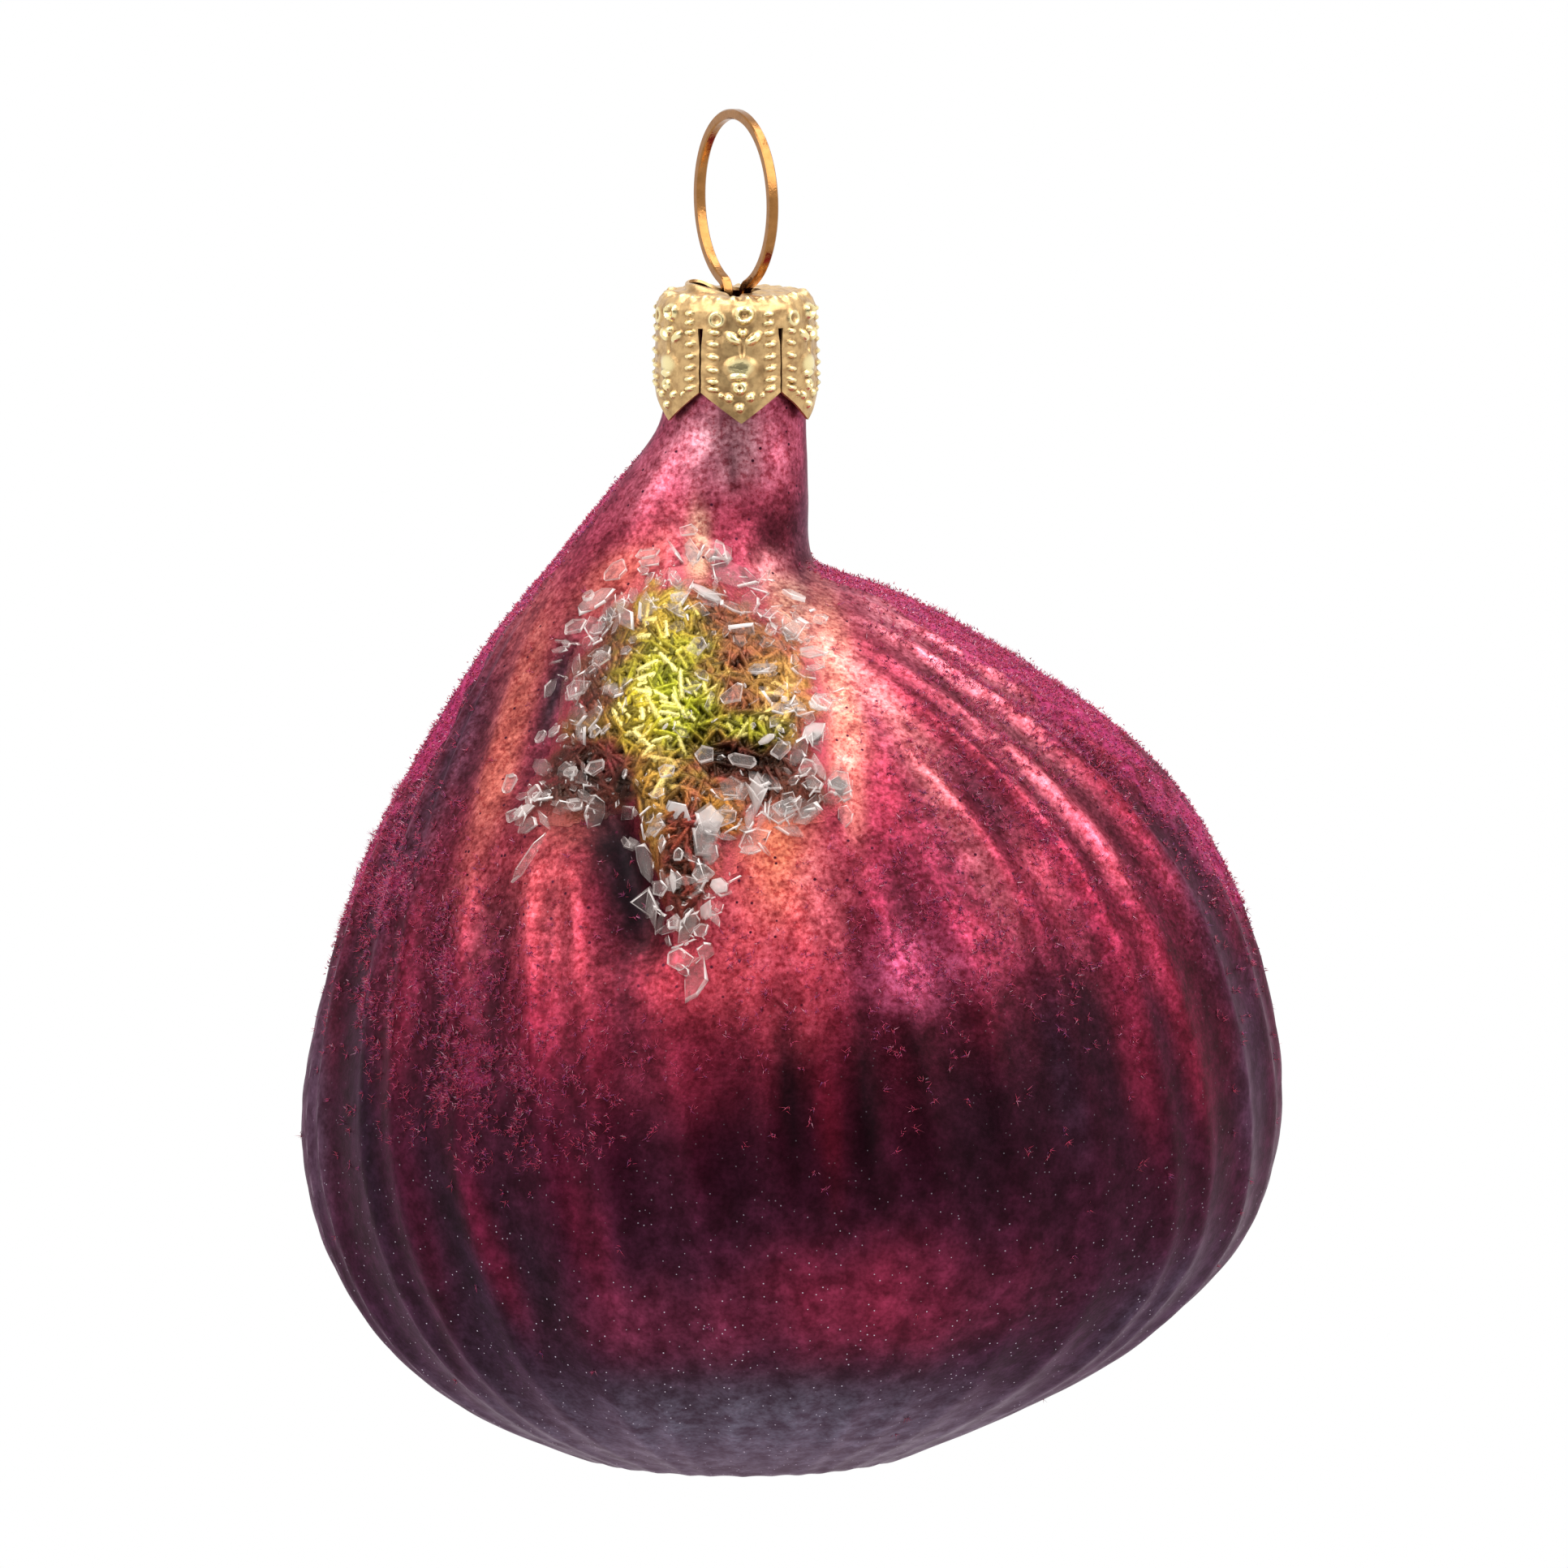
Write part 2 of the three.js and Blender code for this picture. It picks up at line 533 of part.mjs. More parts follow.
// The larger shards, one by one: place x and z from the star's middle as shares of the longest arm,
// length and width in millimetres, and turn in degrees
const shardPlaces = [
  // top of the star
  [0.06, 0.68, 1.6, 1, 20], [-0.1, 0.58, 1.9, 1, 15], [0.18, 0.58, 1.7, 0.9, 115],
  [-0.23, 0.51, 2.2, 1.5, 40], [0.03, 0.36, 1.2, 1.1, 5],
  // left edge
  [-0.34, 0.4, 1.1, 1, 70], [-0.39, 0.29, 2.3, 1.6, 160], [-0.28, 0.16, 1.7, 1.3, 35],
  [-0.38, 0.05, 2.3, 1.3, 25], [-0.55, -0.13, 1.2, 0.8, 60], [-0.3, -0.12, 1.2, 1, 75],
  // left arm, ending in a long splinter
  [-0.42, -0.26, 1.2, 0.9, 10], [-0.54, -0.37, 1.5, 1.2, 80], [-0.65, -0.34, 1.8, 1.1, 65],
  [-0.62, -0.46, 1.7, 0.9, 10], [-0.58, -0.6, 4.4, 0.7, 48], [-0.31, -0.24, 1.6, 1.5, 40],
  [-0.39, -0.39, 1.5, 1.1, 130],
  // right side
  [0.11, 0.19, 1.8, 1.3, 60], [0.4, 0.27, 1.5, 1, 80], [0.5, 0.41, 2, 1, 155], [0.6, 0.3, 1.4, 1, 30],
  [0.58, 0.18, 2.3, 1.2, 5], [0.37, 0.12, 2.3, 0.9, 0], [0.26, 0.01, 2, 1.4, 25],
  [0.61, -0.02, 1.9, 1.5, 120],
  // right arm
  [0.14, -0.18, 1.7, 1.4, 100], [0.29, -0.18, 2.1, 1.2, 165], [0.45, -0.18, 1.8, 1.2, 50],
  [0.56, -0.25, 1.6, 1.4, 110], [0.48, -0.38, 2.6, 1.3, 25], [0.69, -0.29, 1.7, 1.5, 40],
  // lower arm
  [0, -0.28, 1.4, 1.2, 15], [0.22, -0.43, 2.4, 1.3, 20], [0.05, -0.58, 1.1, 0.8, 80],
  [0.15, -0.65, 1.7, 1.4, 10], [-0.03, -0.71, 1.5, 1.1, 140], [0.14, -0.86, 1.3, 1, 35],
  [0.03, -0.84, 1.1, 1, 95], [0.05, -0.97, 1.9, 1.7, 20],
];

// How far the crushed glass is carried above the skin: by the glue, or by the pleats beyond it
function groundAt(p) {
  const away = Math.hypot(p.x - STAR_X, p.z - starZ);
  const onGlue = away < starRadius(Math.atan2(p.z - starZ, p.x - STAR_X)) + SEAT_GAP;
  return onGlue ? SEAT_GAP + GLUE_THICK : (FLUTE_DEPTH / 2) * starFade(p);
}

function shard([x, z, length, width, turn], index) {
  const corners = 5 + (index % 2);
  const outline = new THREE.Shape();
  for (let k = 0; k < corners; k++) {
    const angle = ((k + 0.3 * scatter(index, k + 10)) * 2 * Math.PI) / corners;
    const radius = 0.92 + 0.08 * scatter(index, k + 30);
    const corner = [(length / 2) * radius * Math.cos(angle), (width / 2) * radius * Math.sin(angle)];
    if (k === 0) outline.moveTo(...corner);
    else outline.lineTo(...corner);
  }
  const geometry = new THREE.ExtrudeGeometry(outline, { depth: SHARD_THICK, bevelEnabled: false });
  const lean = 14 * scatter(index, 5) * DEG;
  const roll = 10 * scatter(index, 6) * DEG;
  geometry.rotateZ(turn * DEG).rotateX(lean).rotateY(roll);
  geometry.computeBoundingBox();
  geometry.translate(0, 0, -geometry.boundingBox.min.z);

  const { point, normal } = frontPlace(STAR_X + x * STAR_REACH, starZ + z * STAR_REACH);
  const right = new THREE.Vector3(1, 0, 0).addScaledVector(normal, -normal.x).normalize();
  const up = normal.clone().cross(right);
  // It rests on the highest place that lies under it
  let rise = groundAt(point);
  for (let k = 0; k < 12; k++) {
    const around = ((k % 6) * Math.PI) / 3;
    const away = k < 6 ? 0.5 : 0.25;
    const along = away * length * Math.cos(around);
    const across = away * width * Math.sin(around);
    const dx = along * Math.cos(turn * DEG) - across * Math.sin(turn * DEG);
    const dy = along * Math.sin(turn * DEG) + across * Math.cos(turn * DEG);
    const under = point.clone().addScaledVector(right, dx).addScaledVector(up, dy);
    const ground = frontPlace(under.x, under.z).point;
    rise = Math.max(rise, groundAt(ground) + ground.clone().sub(under).dot(normal));
  }
  point.addScaledVector(normal, rise + SEAT_GAP);
  return geometry.applyMatrix4(new THREE.Matrix4().makeBasis(right, up, normal).setPosition(point));
}

add("glass_body", glassBody(), lacqueredGlass);
add("crown_cap", crownCap(), gold);
add("hanger_wire", hangerWire(), brassWire);
add("glue_star", glueStar(), glue);
shardPlaces.forEach((place, i) => {
  add("shard_" + String(i + 1).padStart(2, "0"), shard(place, i), clearGlass);
});

export default object;
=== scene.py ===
import json
import math

import bpy
import numpy as np
from mathutils import Matrix, Vector, noise
from mathutils.bvhtree import BVHTree
from mathutils.kdtree import KDTree

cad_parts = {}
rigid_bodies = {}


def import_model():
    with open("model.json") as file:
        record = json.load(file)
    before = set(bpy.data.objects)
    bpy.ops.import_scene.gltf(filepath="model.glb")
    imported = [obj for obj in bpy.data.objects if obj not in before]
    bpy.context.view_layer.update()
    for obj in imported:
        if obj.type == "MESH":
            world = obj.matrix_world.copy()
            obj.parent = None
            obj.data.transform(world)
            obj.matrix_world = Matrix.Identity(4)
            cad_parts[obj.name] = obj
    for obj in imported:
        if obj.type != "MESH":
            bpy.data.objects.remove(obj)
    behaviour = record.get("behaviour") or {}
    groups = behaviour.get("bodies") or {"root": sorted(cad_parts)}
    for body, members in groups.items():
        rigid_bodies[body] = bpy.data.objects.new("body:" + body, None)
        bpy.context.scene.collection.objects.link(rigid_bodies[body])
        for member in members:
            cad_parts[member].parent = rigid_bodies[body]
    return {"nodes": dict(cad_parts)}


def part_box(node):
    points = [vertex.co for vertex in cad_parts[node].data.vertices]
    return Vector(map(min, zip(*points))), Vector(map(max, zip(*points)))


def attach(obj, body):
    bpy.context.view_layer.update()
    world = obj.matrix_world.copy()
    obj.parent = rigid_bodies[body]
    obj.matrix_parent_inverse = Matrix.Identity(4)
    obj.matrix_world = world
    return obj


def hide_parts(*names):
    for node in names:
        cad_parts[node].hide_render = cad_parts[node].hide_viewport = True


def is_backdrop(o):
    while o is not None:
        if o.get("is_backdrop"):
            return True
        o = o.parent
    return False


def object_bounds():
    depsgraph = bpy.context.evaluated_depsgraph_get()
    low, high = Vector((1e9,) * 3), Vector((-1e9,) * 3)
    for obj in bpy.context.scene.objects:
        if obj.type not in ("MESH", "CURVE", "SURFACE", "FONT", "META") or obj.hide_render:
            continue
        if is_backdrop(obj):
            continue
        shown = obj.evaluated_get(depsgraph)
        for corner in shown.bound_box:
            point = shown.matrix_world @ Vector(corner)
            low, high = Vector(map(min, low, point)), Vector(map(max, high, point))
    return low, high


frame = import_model()
cad_low, cad_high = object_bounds()


# Blown glass body. One bubble of thin glass, blown into a fig-shaped mould: a straight neck, a
# leaning shoulder, pleats from the neck to the base, and hollows and ridges where the star is glued
# on. It is silvered inside and open at the neck, under the cap.
MM = 0.001
SEAT_GAP = 0.3 * MM
NECK_RADIUS = 4.6 * MM
BODY_HEIGHT = 70 * MM
REACH_LEFT = 28.5 * MM
REACH_RIGHT = 35.8 * MM
REACH_DEPTH = 29.3 * MM

cap_low, cap_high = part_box("crown_cap")
neck_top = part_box("glass_body")[1].z
neck_end = cap_low.z + SEAT_GAP

# Each row is one ring of the mould: how far down its left end lies and how far out, the same for its
# right end, and how deep it is. They are shares of the body's height and of the reach past the neck.
MOULD_RINGS = np.array([
    (0, 0, 0, 0, 0),
    (0.037, 0.063, 0.046, 0, 0.012),
    (0.083, 0.185, 0.091, 0.002, 0.057),
    (0.137, 0.305, 0.131, 0.008, 0.138),
    (0.18, 0.405, 0.146, 0.04, 0.231),
    (0.227, 0.502, 0.168, 0.18, 0.34),
    (0.288, 0.612, 0.226, 0.42, 0.51),
    (0.347, 0.718, 0.29, 0.632, 0.68),
    (0.414, 0.82, 0.362, 0.795, 0.81),
    (0.5, 0.912, 0.457, 0.917, 0.919),
    (0.601, 0.979, 0.587, 0.99, 0.988),
    (0.687, 1, 0.687, 0.989, 1),
    (0.774, 0.95, 0.774, 0.921, 0.947),
    (0.866, 0.808, 0.863, 0.737, 0.802),
    (0.94, 0.568, 0.935, 0.485, 0.551),
    (0.992, 0.244, 0.992, 0.215, 0.239),
])
LAST_RING = len(MOULD_RINGS) - 1


def curve_through(values, ring):
    """The smooth curve through one value for each mould ring"""
    i = min(int(ring), LAST_RING - 1)
    t = ring - i
    p0, p1, p2, p3 = (values[min(max(k, 0), LAST_RING)] for k in (i - 1, i, i + 1, i + 2))
    leaving, arriving = (p2 - p0) / 2, (p3 - p1) / 2
    cubic = 2 * p1 - 2 * p2 + leaving + arriving
    square = -3 * p1 + 3 * p2 - 2 * leaving - arriving
    return cubic * t**3 + square * t**2 + leaving * t + p1


def mould_section(ring):
    """Middle, half width, half depth and tilt of the mould's ring; the neck has rings under 0"""
    if ring < 0:
        return Vector((0, 0, neck_end - ring * (neck_top - neck_end))), NECK_RADIUS, NECK_RADIUS, 0
    drop_left, out_left, drop_right, out_right, deep = (
        curve_through(MOULD_RINGS[:, k], ring) for k in range(5))
    to_left = NECK_RADIUS + out_left * (REACH_LEFT - NECK_RADIUS)
    to_right = NECK_RADIUS + out_right * (REACH_RIGHT - NECK_RADIUS)
    left = Vector((-to_left, 0, neck_end - drop_left * BODY_HEIGHT))
    right = Vector((to_right, 0, neck_end - drop_right * BODY_HEIGHT))
    across = right - left
    depth = NECK_RADIUS + deep * (REACH_DEPTH - NECK_RADIUS)
    return (left + right) / 2, across.length / 2, depth, math.atan2(across.z, across.x)


def even_rings(count):
    """Ring numbers spaced evenly down the skin, from the neck's top to the last ring"""
    fine = np.linspace(-1, LAST_RING, 600)
    sections = [mould_section(ring) for ring in fine]
    profile = np.array([(s[0].x + s[1], s[0].z, s[2]) for s in sections])
    steps = np.linalg.norm(np.diff(profile, axis=0), axis=1)
    down = np.concatenate([[0], np.cumsum(steps)])
    return np.interp(np.linspace(0, down[-1], count), down, fine)


def select_nothing():
    bpy.ops.object.select_all(action="DESELECT")


def only_this(piece):
    select_nothing()
    piece.select_set(True)
    bpy.context.view_layer.objects.active = piece


def edit(piece, select="SELECT"):
    only_this(piece)
    bpy.ops.object.mode_set(mode="EDIT")
    bpy.ops.mesh.select_mode(type="VERT")
    bpy.ops.mesh.select_all(action=select)


def extrude_by(step):
    bpy.ops.mesh.extrude_region_move(TRANSFORM_OT_translate={"value": step})


def widen_by(across, deep, middle):
    bpy.ops.transform.resize(value=(across, deep, 1), center_override=middle)


def done():
    bpy.ops.object.mode_set(mode="OBJECT")
    bpy.ops.object.transform_apply(location=True, rotation=True, scale=True)


def finished(piece, kind, **settings):
    """Adds a modifier to the piece and applies it"""
    only_this(piece)
    modifier = piece.modifiers.new(kind.lower(), kind)
    for name, value in settings.items():
        setattr(modifier, name, value)
    bpy.ops.object.modifier_apply(modifier=modifier.name)


def points_of(mesh):
    points = np.empty(3 * len(mesh.vertices))
    mesh.vertices.foreach_get("co", points)
    return points.reshape(-1, 3)


def normals_of(mesh):
    normals = np.empty(3 * len(mesh.vertices))
    mesh.vertices.foreach_get("normal", normals)
    return normals.reshape(-1, 3)


def move_points(mesh, points):
    mesh.vertices.foreach_set("co", points.ravel())
    mesh.update()


def smoothstep(value, low, high):
    t = np.clip((value - low) / (high - low), 0, 1)
    return t * t * (3 - 2 * t)


def scatter(index, salt):
    """Repeatable scatter between -1 and 1"""
    wild = np.sin(index * 127.1 + salt * 311.7) * 43758.5453
    return 2 * (wild - np.floor(wild)) - 1


# The bubble's cage: a circle at the neck's top, drawn down ring by ring
CAGE_COLUMNS = 88
CAGE_RINGS = 58
select_nothing()
bpy.ops.mesh.primitive_circle_add(vertices=CAGE_COLUMNS, radius=NECK_RADIUS, location=(0, 0, neck_top))
glass = bpy.context.object
glass.name = glass.data.name = "blown_glass"
edit(glass)
cage_rings = even_rings(CAGE_RINGS)
ring_numbers = [-1.0]
middle, half_width, half_depth, tilt = mould_section(-1)
for ring in cage_rings[1:]:
    new_middle, new_width, new_depth, new_tilt = mould_section(ring)
    extrude_by(new_middle - middle)
    bpy.ops.transform.rotate(value=-tilt, orient_axis="Y", center_override=new_middle)
    widen_by(new_width / half_width, new_depth / half_depth, new_middle)
    bpy.ops.transform.rotate(value=new_tilt, orient_axis="Y", center_override=new_middle)
    middle, half_width, half_depth, tilt = new_middle, new_width, new_depth, new_tilt
    ring_numbers.append(float(ring))

# The base closes in flatter rings round a shallow dimple
BASE_RISE = 0.6 * MM
BASE_SHIFT = 0.4 * MM
BASE_SHARES = (0.7, 0.4, 0.15)
base_pole = Vector((BASE_SHIFT, 0, neck_end - BODY_HEIGHT + BASE_RISE))
left_over = 1.0
for share in BASE_SHARES:
    new_middle = base_pole.lerp(middle, share / left_over)
    extrude_by(new_middle - middle)
    widen_by(share / left_over, share / left_over, new_middle)
    middle, left_over = new_middle, share
    ring_numbers.append(LAST_RING + 1 - share)
extrude_by(base_pole - middle)
bpy.ops.mesh.merge(type="CENTER")
bpy.ops.mesh.select_all(action="SELECT")
bpy.ops.mesh.normals_make_consistent(inside=False)
done()

# A map on the skin: round it along U, from the back, and down the rings along V
glass.data.uv_layers.new(name="skin")


def map_skin(mesh):
    skin_map = mesh.uv_layers["skin"].data
    for face in mesh.polygons:
        columns = [v % CAGE_COLUMNS for v in face.vertices]
        at_seam = max(columns) - min(columns) > 1
        for loop, v, column in zip(face.loop_indices, face.vertices, columns):
            ring_index = v // CAGE_COLUMNS
            if ring_index >= len(ring_numbers):
                others = [c for w, c in zip(face.vertices, columns) if w != v]
                column, ring = min(others) + 0.5, LAST_RING + 1
                if max(others) - min(others) > 1:
                    column = CAGE_COLUMNS - 0.5
            else:
                ring = ring_numbers[ring_index]
                if at_seam and column == 0 and len(face.vertices) == 4:
                    column = CAGE_COLUMNS
                if len(face.vertices) == 3 and column == 0:
                    column = CAGE_COLUMNS if CAGE_COLUMNS - 1 in columns else 0
            skin_map[loop].uv = (column / CAGE_COLUMNS, ring)


map_skin(glass.data)

# The cage is kept as it is for the inner wall, and made fine for the outer one
SUBDIVISIONS = 2
inner_wall = glass.copy()
inner_wall.data = glass.data.copy()
bpy.context.collection.objects.link(inner_wall)
finished(glass, "SUBSURF", levels=SUBDIVISIONS, render_levels=SUBDIVISIONS, uv_smooth="NONE")


def skin_places(mesh):
    """For each point of the skin its angle from +X and its mould ring, from the map"""
    uv = np.empty(2 * len(mesh.loops))
    mesh.uv_layers["skin"].data.foreach_get("uv", uv)
    corner = np.empty(len(mesh.loops), dtype=int)
    mesh.loops.foreach_get("vertex_index", corner)
    place = np.empty((len(mesh.vertices), 2))
    place[corner] = uv.reshape(-1, 2)
    return np.radians(90) + 2 * np.pi * place[:, 0], place[:, 1]


# The star's middle, and its ragged edge: direction in degrees, and reach as a share of the longest arm
STAR_X = -4 * MM
STAR_DROP = 17.7 * MM
STAR_REACH = 15.4 * MM
STAR_RELIEF = 1.4 * MM
star_z = neck_end - STAR_DROP
STAR_EDGE = np.array((
    (-86, 1), (-73, 0.71), (-63, 0.62), (-47, 0.6), (-27, 0.8), (-13, 0.67), (7, 0.65), (29, 0.63),
    (48, 0.58), (63, 0.56), (76, 0.6), (94, 0.55), (119, 0.49), (137, 0.46), (160, 0.475), (185, 0.48),
    (200, 0.56), (215, 0.8), (229, 0.58), (245, 0.42), (258, 0.56), (266, 0.73)))


def star_share(x, z):
    """Distance from the star's middle, as a share of the star's edge in that direction"""
    direction = np.degrees(np.arctan2(z - star_z, x - STAR_X))
    reach = STAR_REACH * np.interp(direction, STAR_EDGE[:, 0], STAR_EDGE[:, 1], period=360)
    return np.hypot(x - STAR_X, z - star_z) / reach


# Hollows and ridges blown into the star, as strokes between two places, in shares of its reach
STAR_STROKES = (
    ((-0.33, 0.3), (-0.6, -0.3), 0.123, -0.64),
    ((-0.26, -0.43), (-0.12, -0.84), 0.115, -1),
    ((-0.4, -0.27), (-0.33, -0.21), 0.123, -0.86),
    ((0.12, -0.16), (0.34, -0.21), 0.117, -0.86),
    ((0.06, 0.49), (-0.03, -0.03), 0.156, 0.57),
    ((-0.03, -0.26), (0.06, -0.78), 0.11, 0.5),
    ((-0.14, -0.05), (-0.58, -0.4), 0.104, 0.29),
    ((0.15, 0.04), (0.58, -0.1), 0.117, 0.36),
    ((-0.04, 0.94), (-0.16, 0.8), 0.1, 0.24),
    ((0.44, 0.94), (0.45, 0.8), 0.1, 0.24),
)


def star_relief(points, spread=0.0, hollows_only=False):
    relief = np.zeros(len(points))
    for start, end, wide, high in STAR_STROKES:
        if hollows_only and high > 0:
            continue
        a = np.array(start) * STAR_REACH
        b = np.array(end) * STAR_REACH - a
        place = points[:, [0, 2]] - (STAR_X, star_z) - a
        along = np.clip(place @ b / (b @ b), 0, 1)
        away = np.linalg.norm(place - along[:, None] * b, axis=1)
        relief += high * STAR_RELIEF * np.exp(-((away / (wide * STAR_REACH + spread)) ** 2))
    return np.where(points[:, 1] < 0, relief, 0)


# The pleats: how many, how deep, how far they wind for each ring, and the shape of their crests
PLEATS = 36
PLEAT_DEPTH = 0.8 * MM
PLEAT_MEAN = 0.4
PLEAT_TWIST = math.radians(2.5)
PLEAT_RING = 9
CREST_HEIGHT = 0.8
CREST_UNEVEN = 0.2
CREST_ASIDE = 0.22
CREST_HALF_WIDTH = 0.27
CREST_ROUNDNESS = 1.6


def pleat_height(angle, ring):
    """0 in the valleys and about 1 on the crests, which are sharp, uneven and wind round the body"""
    pitch = 2 * np.pi / PLEATS
    turn = ((angle - PLEAT_TWIST * (ring - PLEAT_RING)) / pitch - 0.5) % PLEATS
    height = np.zeros(len(angle))
    for offset in (-1, 0, 1, 2):
        crest = np.floor(turn) + offset
        number = crest % PLEATS
        away = turn - crest - CREST_ASIDE * scatter(number, 1)
        ridge = np.exp(-((np.abs(away) / CREST_HALF_WIDTH) ** CREST_ROUNDNESS))
        height += (CREST_HEIGHT + CREST_UNEVEN * scatter(number, 2)) * ridge
    return height


# The pleats begin and end between these rings, and round the star between these shares of its edge.
# Low on the front the mould is worn nearly smooth.
PLEATS_BEGIN = (3, 7)
PLEATS_END = (LAST_RING - 3, LAST_RING)
PLEATS_BY_STAR = (1.15, 2)
BASE_FADE = 0.85
WORN_ANGLE = math.radians(-80)
WORN_TURN = math.radians(28)
WORN_RING = 12.2
WORN_RINGS = 1.6
WORN_SHARE = 0.7


def angle_from(angle, middle):
    """How far an angle lies from another, at most half a turn either way"""
    return np.angle(np.exp(1j * (angle - middle)))


def pleat_fade(points, angle, ring):
    """The pleats fade out towards the neck, the base, the star and the worn patch"""
    fade = smoothstep(ring, *PLEATS_BEGIN) * (1 - BASE_FADE * smoothstep(ring, *PLEATS_END))
    fade *= 1 - smoothstep(ring, LAST_RING, LAST_RING + 1)
    across = angle_from(angle, WORN_ANGLE) / WORN_TURN
    fade *= 1 - WORN_SHARE * np.exp(-(across**2 + ((ring - WORN_RING) / WORN_RINGS) ** 2))
    near_star = smoothstep(star_share(points[:, 0], points[:, 2]), *PLEATS_BY_STAR)
    return fade * np.where(points[:, 1] > 0, 1, near_star)


def waves(points, size, seed):
    """Soft unevenness between -1 and 1, one value for each point"""
    shift = Vector((seed * 7.3, seed * 3.1, seed * 5.7))
    return np.array([noise.noise(Vector(p) / size + shift) for p in points])


# Besides its pleats the glass is softly dented and rippled, but hardly on the neck and the base, and
# its base ends a little higher than the mould's
BASE_TRIM = 0.6 * MM
DENT_DEPTH = 0.2 * MM
DENT_SIZE = 9 * MM
RIPPLE_DEPTH = 0.06 * MM
RIPPLE_SIZE = 2.5 * MM
DENTS_BEGIN = (0, 5)
DENTS_END = (LAST_RING - 4, LAST_RING)

angle, ring = skin_places(glass.data)
skin = points_of(glass.data)
outward = normals_of(glass.data)
flattened = skin * (1, 1, 0.4)
crests = pleat_height(angle, ring)
depth_share = np.clip(0.9 + 0.5 * waves(flattened, 15 * MM, 2), 0.4, 1.1)
depth_share *= pleat_fade(skin, angle, ring)
soft_fade = smoothstep(ring, *DENTS_BEGIN) * (1 - 0.7 * smoothstep(ring, *DENTS_END))
lift = (crests - PLEAT_MEAN) * PLEAT_DEPTH * depth_share
lift -= BASE_TRIM * smoothstep(ring, *PLEATS_END)
lift += DENT_DEPTH * waves(flattened, DENT_SIZE, 1) * soft_fade
lift += RIPPLE_DEPTH * waves(skin, RIPPLE_SIZE, 3) * soft_fade
lift += star_relief(skin)
move_points(glass.data, skin + outward * lift[:, None])
outer_count = len(skin)

# The inner wall is plainer: it passes under the valleys and the dents, follows the star's hollows, and
# is joined to the outer one at the neck's rim
WALL = 0.7 * MM
UNDER_VALLEYS = 0.6 * PLEAT_DEPTH
UNDER_DENTS = 0.25 * MM
INNER_PLEATS_BEGIN = (2.2, 7)
_, inner_ring = skin_places(inner_wall.data)
inner_skin = points_of(inner_wall.data)
inset = WALL + UNDER_VALLEYS * smoothstep(inner_ring, *INNER_PLEATS_BEGIN)
inset += UNDER_DENTS * smoothstep(inner_ring, *DENTS_BEGIN)
inset -= star_relief(inner_skin, spread=2 * WALL, hollows_only=True)
move_points(inner_wall.data, inner_skin - normals_of(inner_wall.data) * inset[:, None])
inner_wall.data.flip_normals()
only_this(glass)
inner_wall.select_set(True)
bpy.ops.object.join()
edit(glass, "DESELECT")
bpy.ops.mesh.select_mode(type="EDGE")
bpy.ops.mesh.select_non_manifold()
bpy.ops.mesh.bridge_edge_loops()
done()
bpy.ops.object.shade_smooth()
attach(glass, "glass")
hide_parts("glass_body")

glass_tree = BVHTree.FromPolygons(
    [v.co for v in glass.data.vertices], [list(p.vertices) for p in glass.data.polygons])


# Lacquer and silvering. The glass is silvered inside and sprayed outside with thin satin lacquers:
# rose at the neck, gold round the star, crimson on the belly and plum below. The sprays overlap
# softly, and many of them are painted highlights, reflections and shade rather than lacquer. The
# lacquer is pricked with dark pinholes above and dusted with pale specks below.
def colour(hexadecimal):
    """A colour as it is seen, made linear"""
    shares = [int(hexadecimal[k:k + 2], 16) / 255 for k in (0, 2, 4)]
    return (*(s / 12.92 if s < 0.04045 else ((s + 0.055) / 1.055) ** 2.4 for s in shares), 1)


def set_point_value(mesh, name, values):
    attribute = mesh.attributes.new(name, "FLOAT", "POINT")
    attribute.data.foreach_set("value", np.asarray(values, dtype=np.float32))


def set_point_colour(mesh, name, colours):
    attribute = mesh.attributes.new(name, "FLOAT_COLOR", "POINT")
    attribute.data.foreach_set("color", np.asarray(colours, dtype=np.float32).ravel())


# Base coats down the height: height in mm under the straight neck, and colour. They darken downwards,
# partly as painted shade, and the lowest are grey, a painted reflection of the pale floor.
BASE_COATS_AND_PAINTED_LIGHT = (
    (-8, "9c4660"), (0, "a8445c"), (6, "a03c50"), (12, "a43e50"), (20, "983044"), (30, "82223a"),
    (37, "66182c"), (44, "4a1228"), (52, "40162c"), (59, "3a1e32"), (64, "423240"), (71, "504c58"))
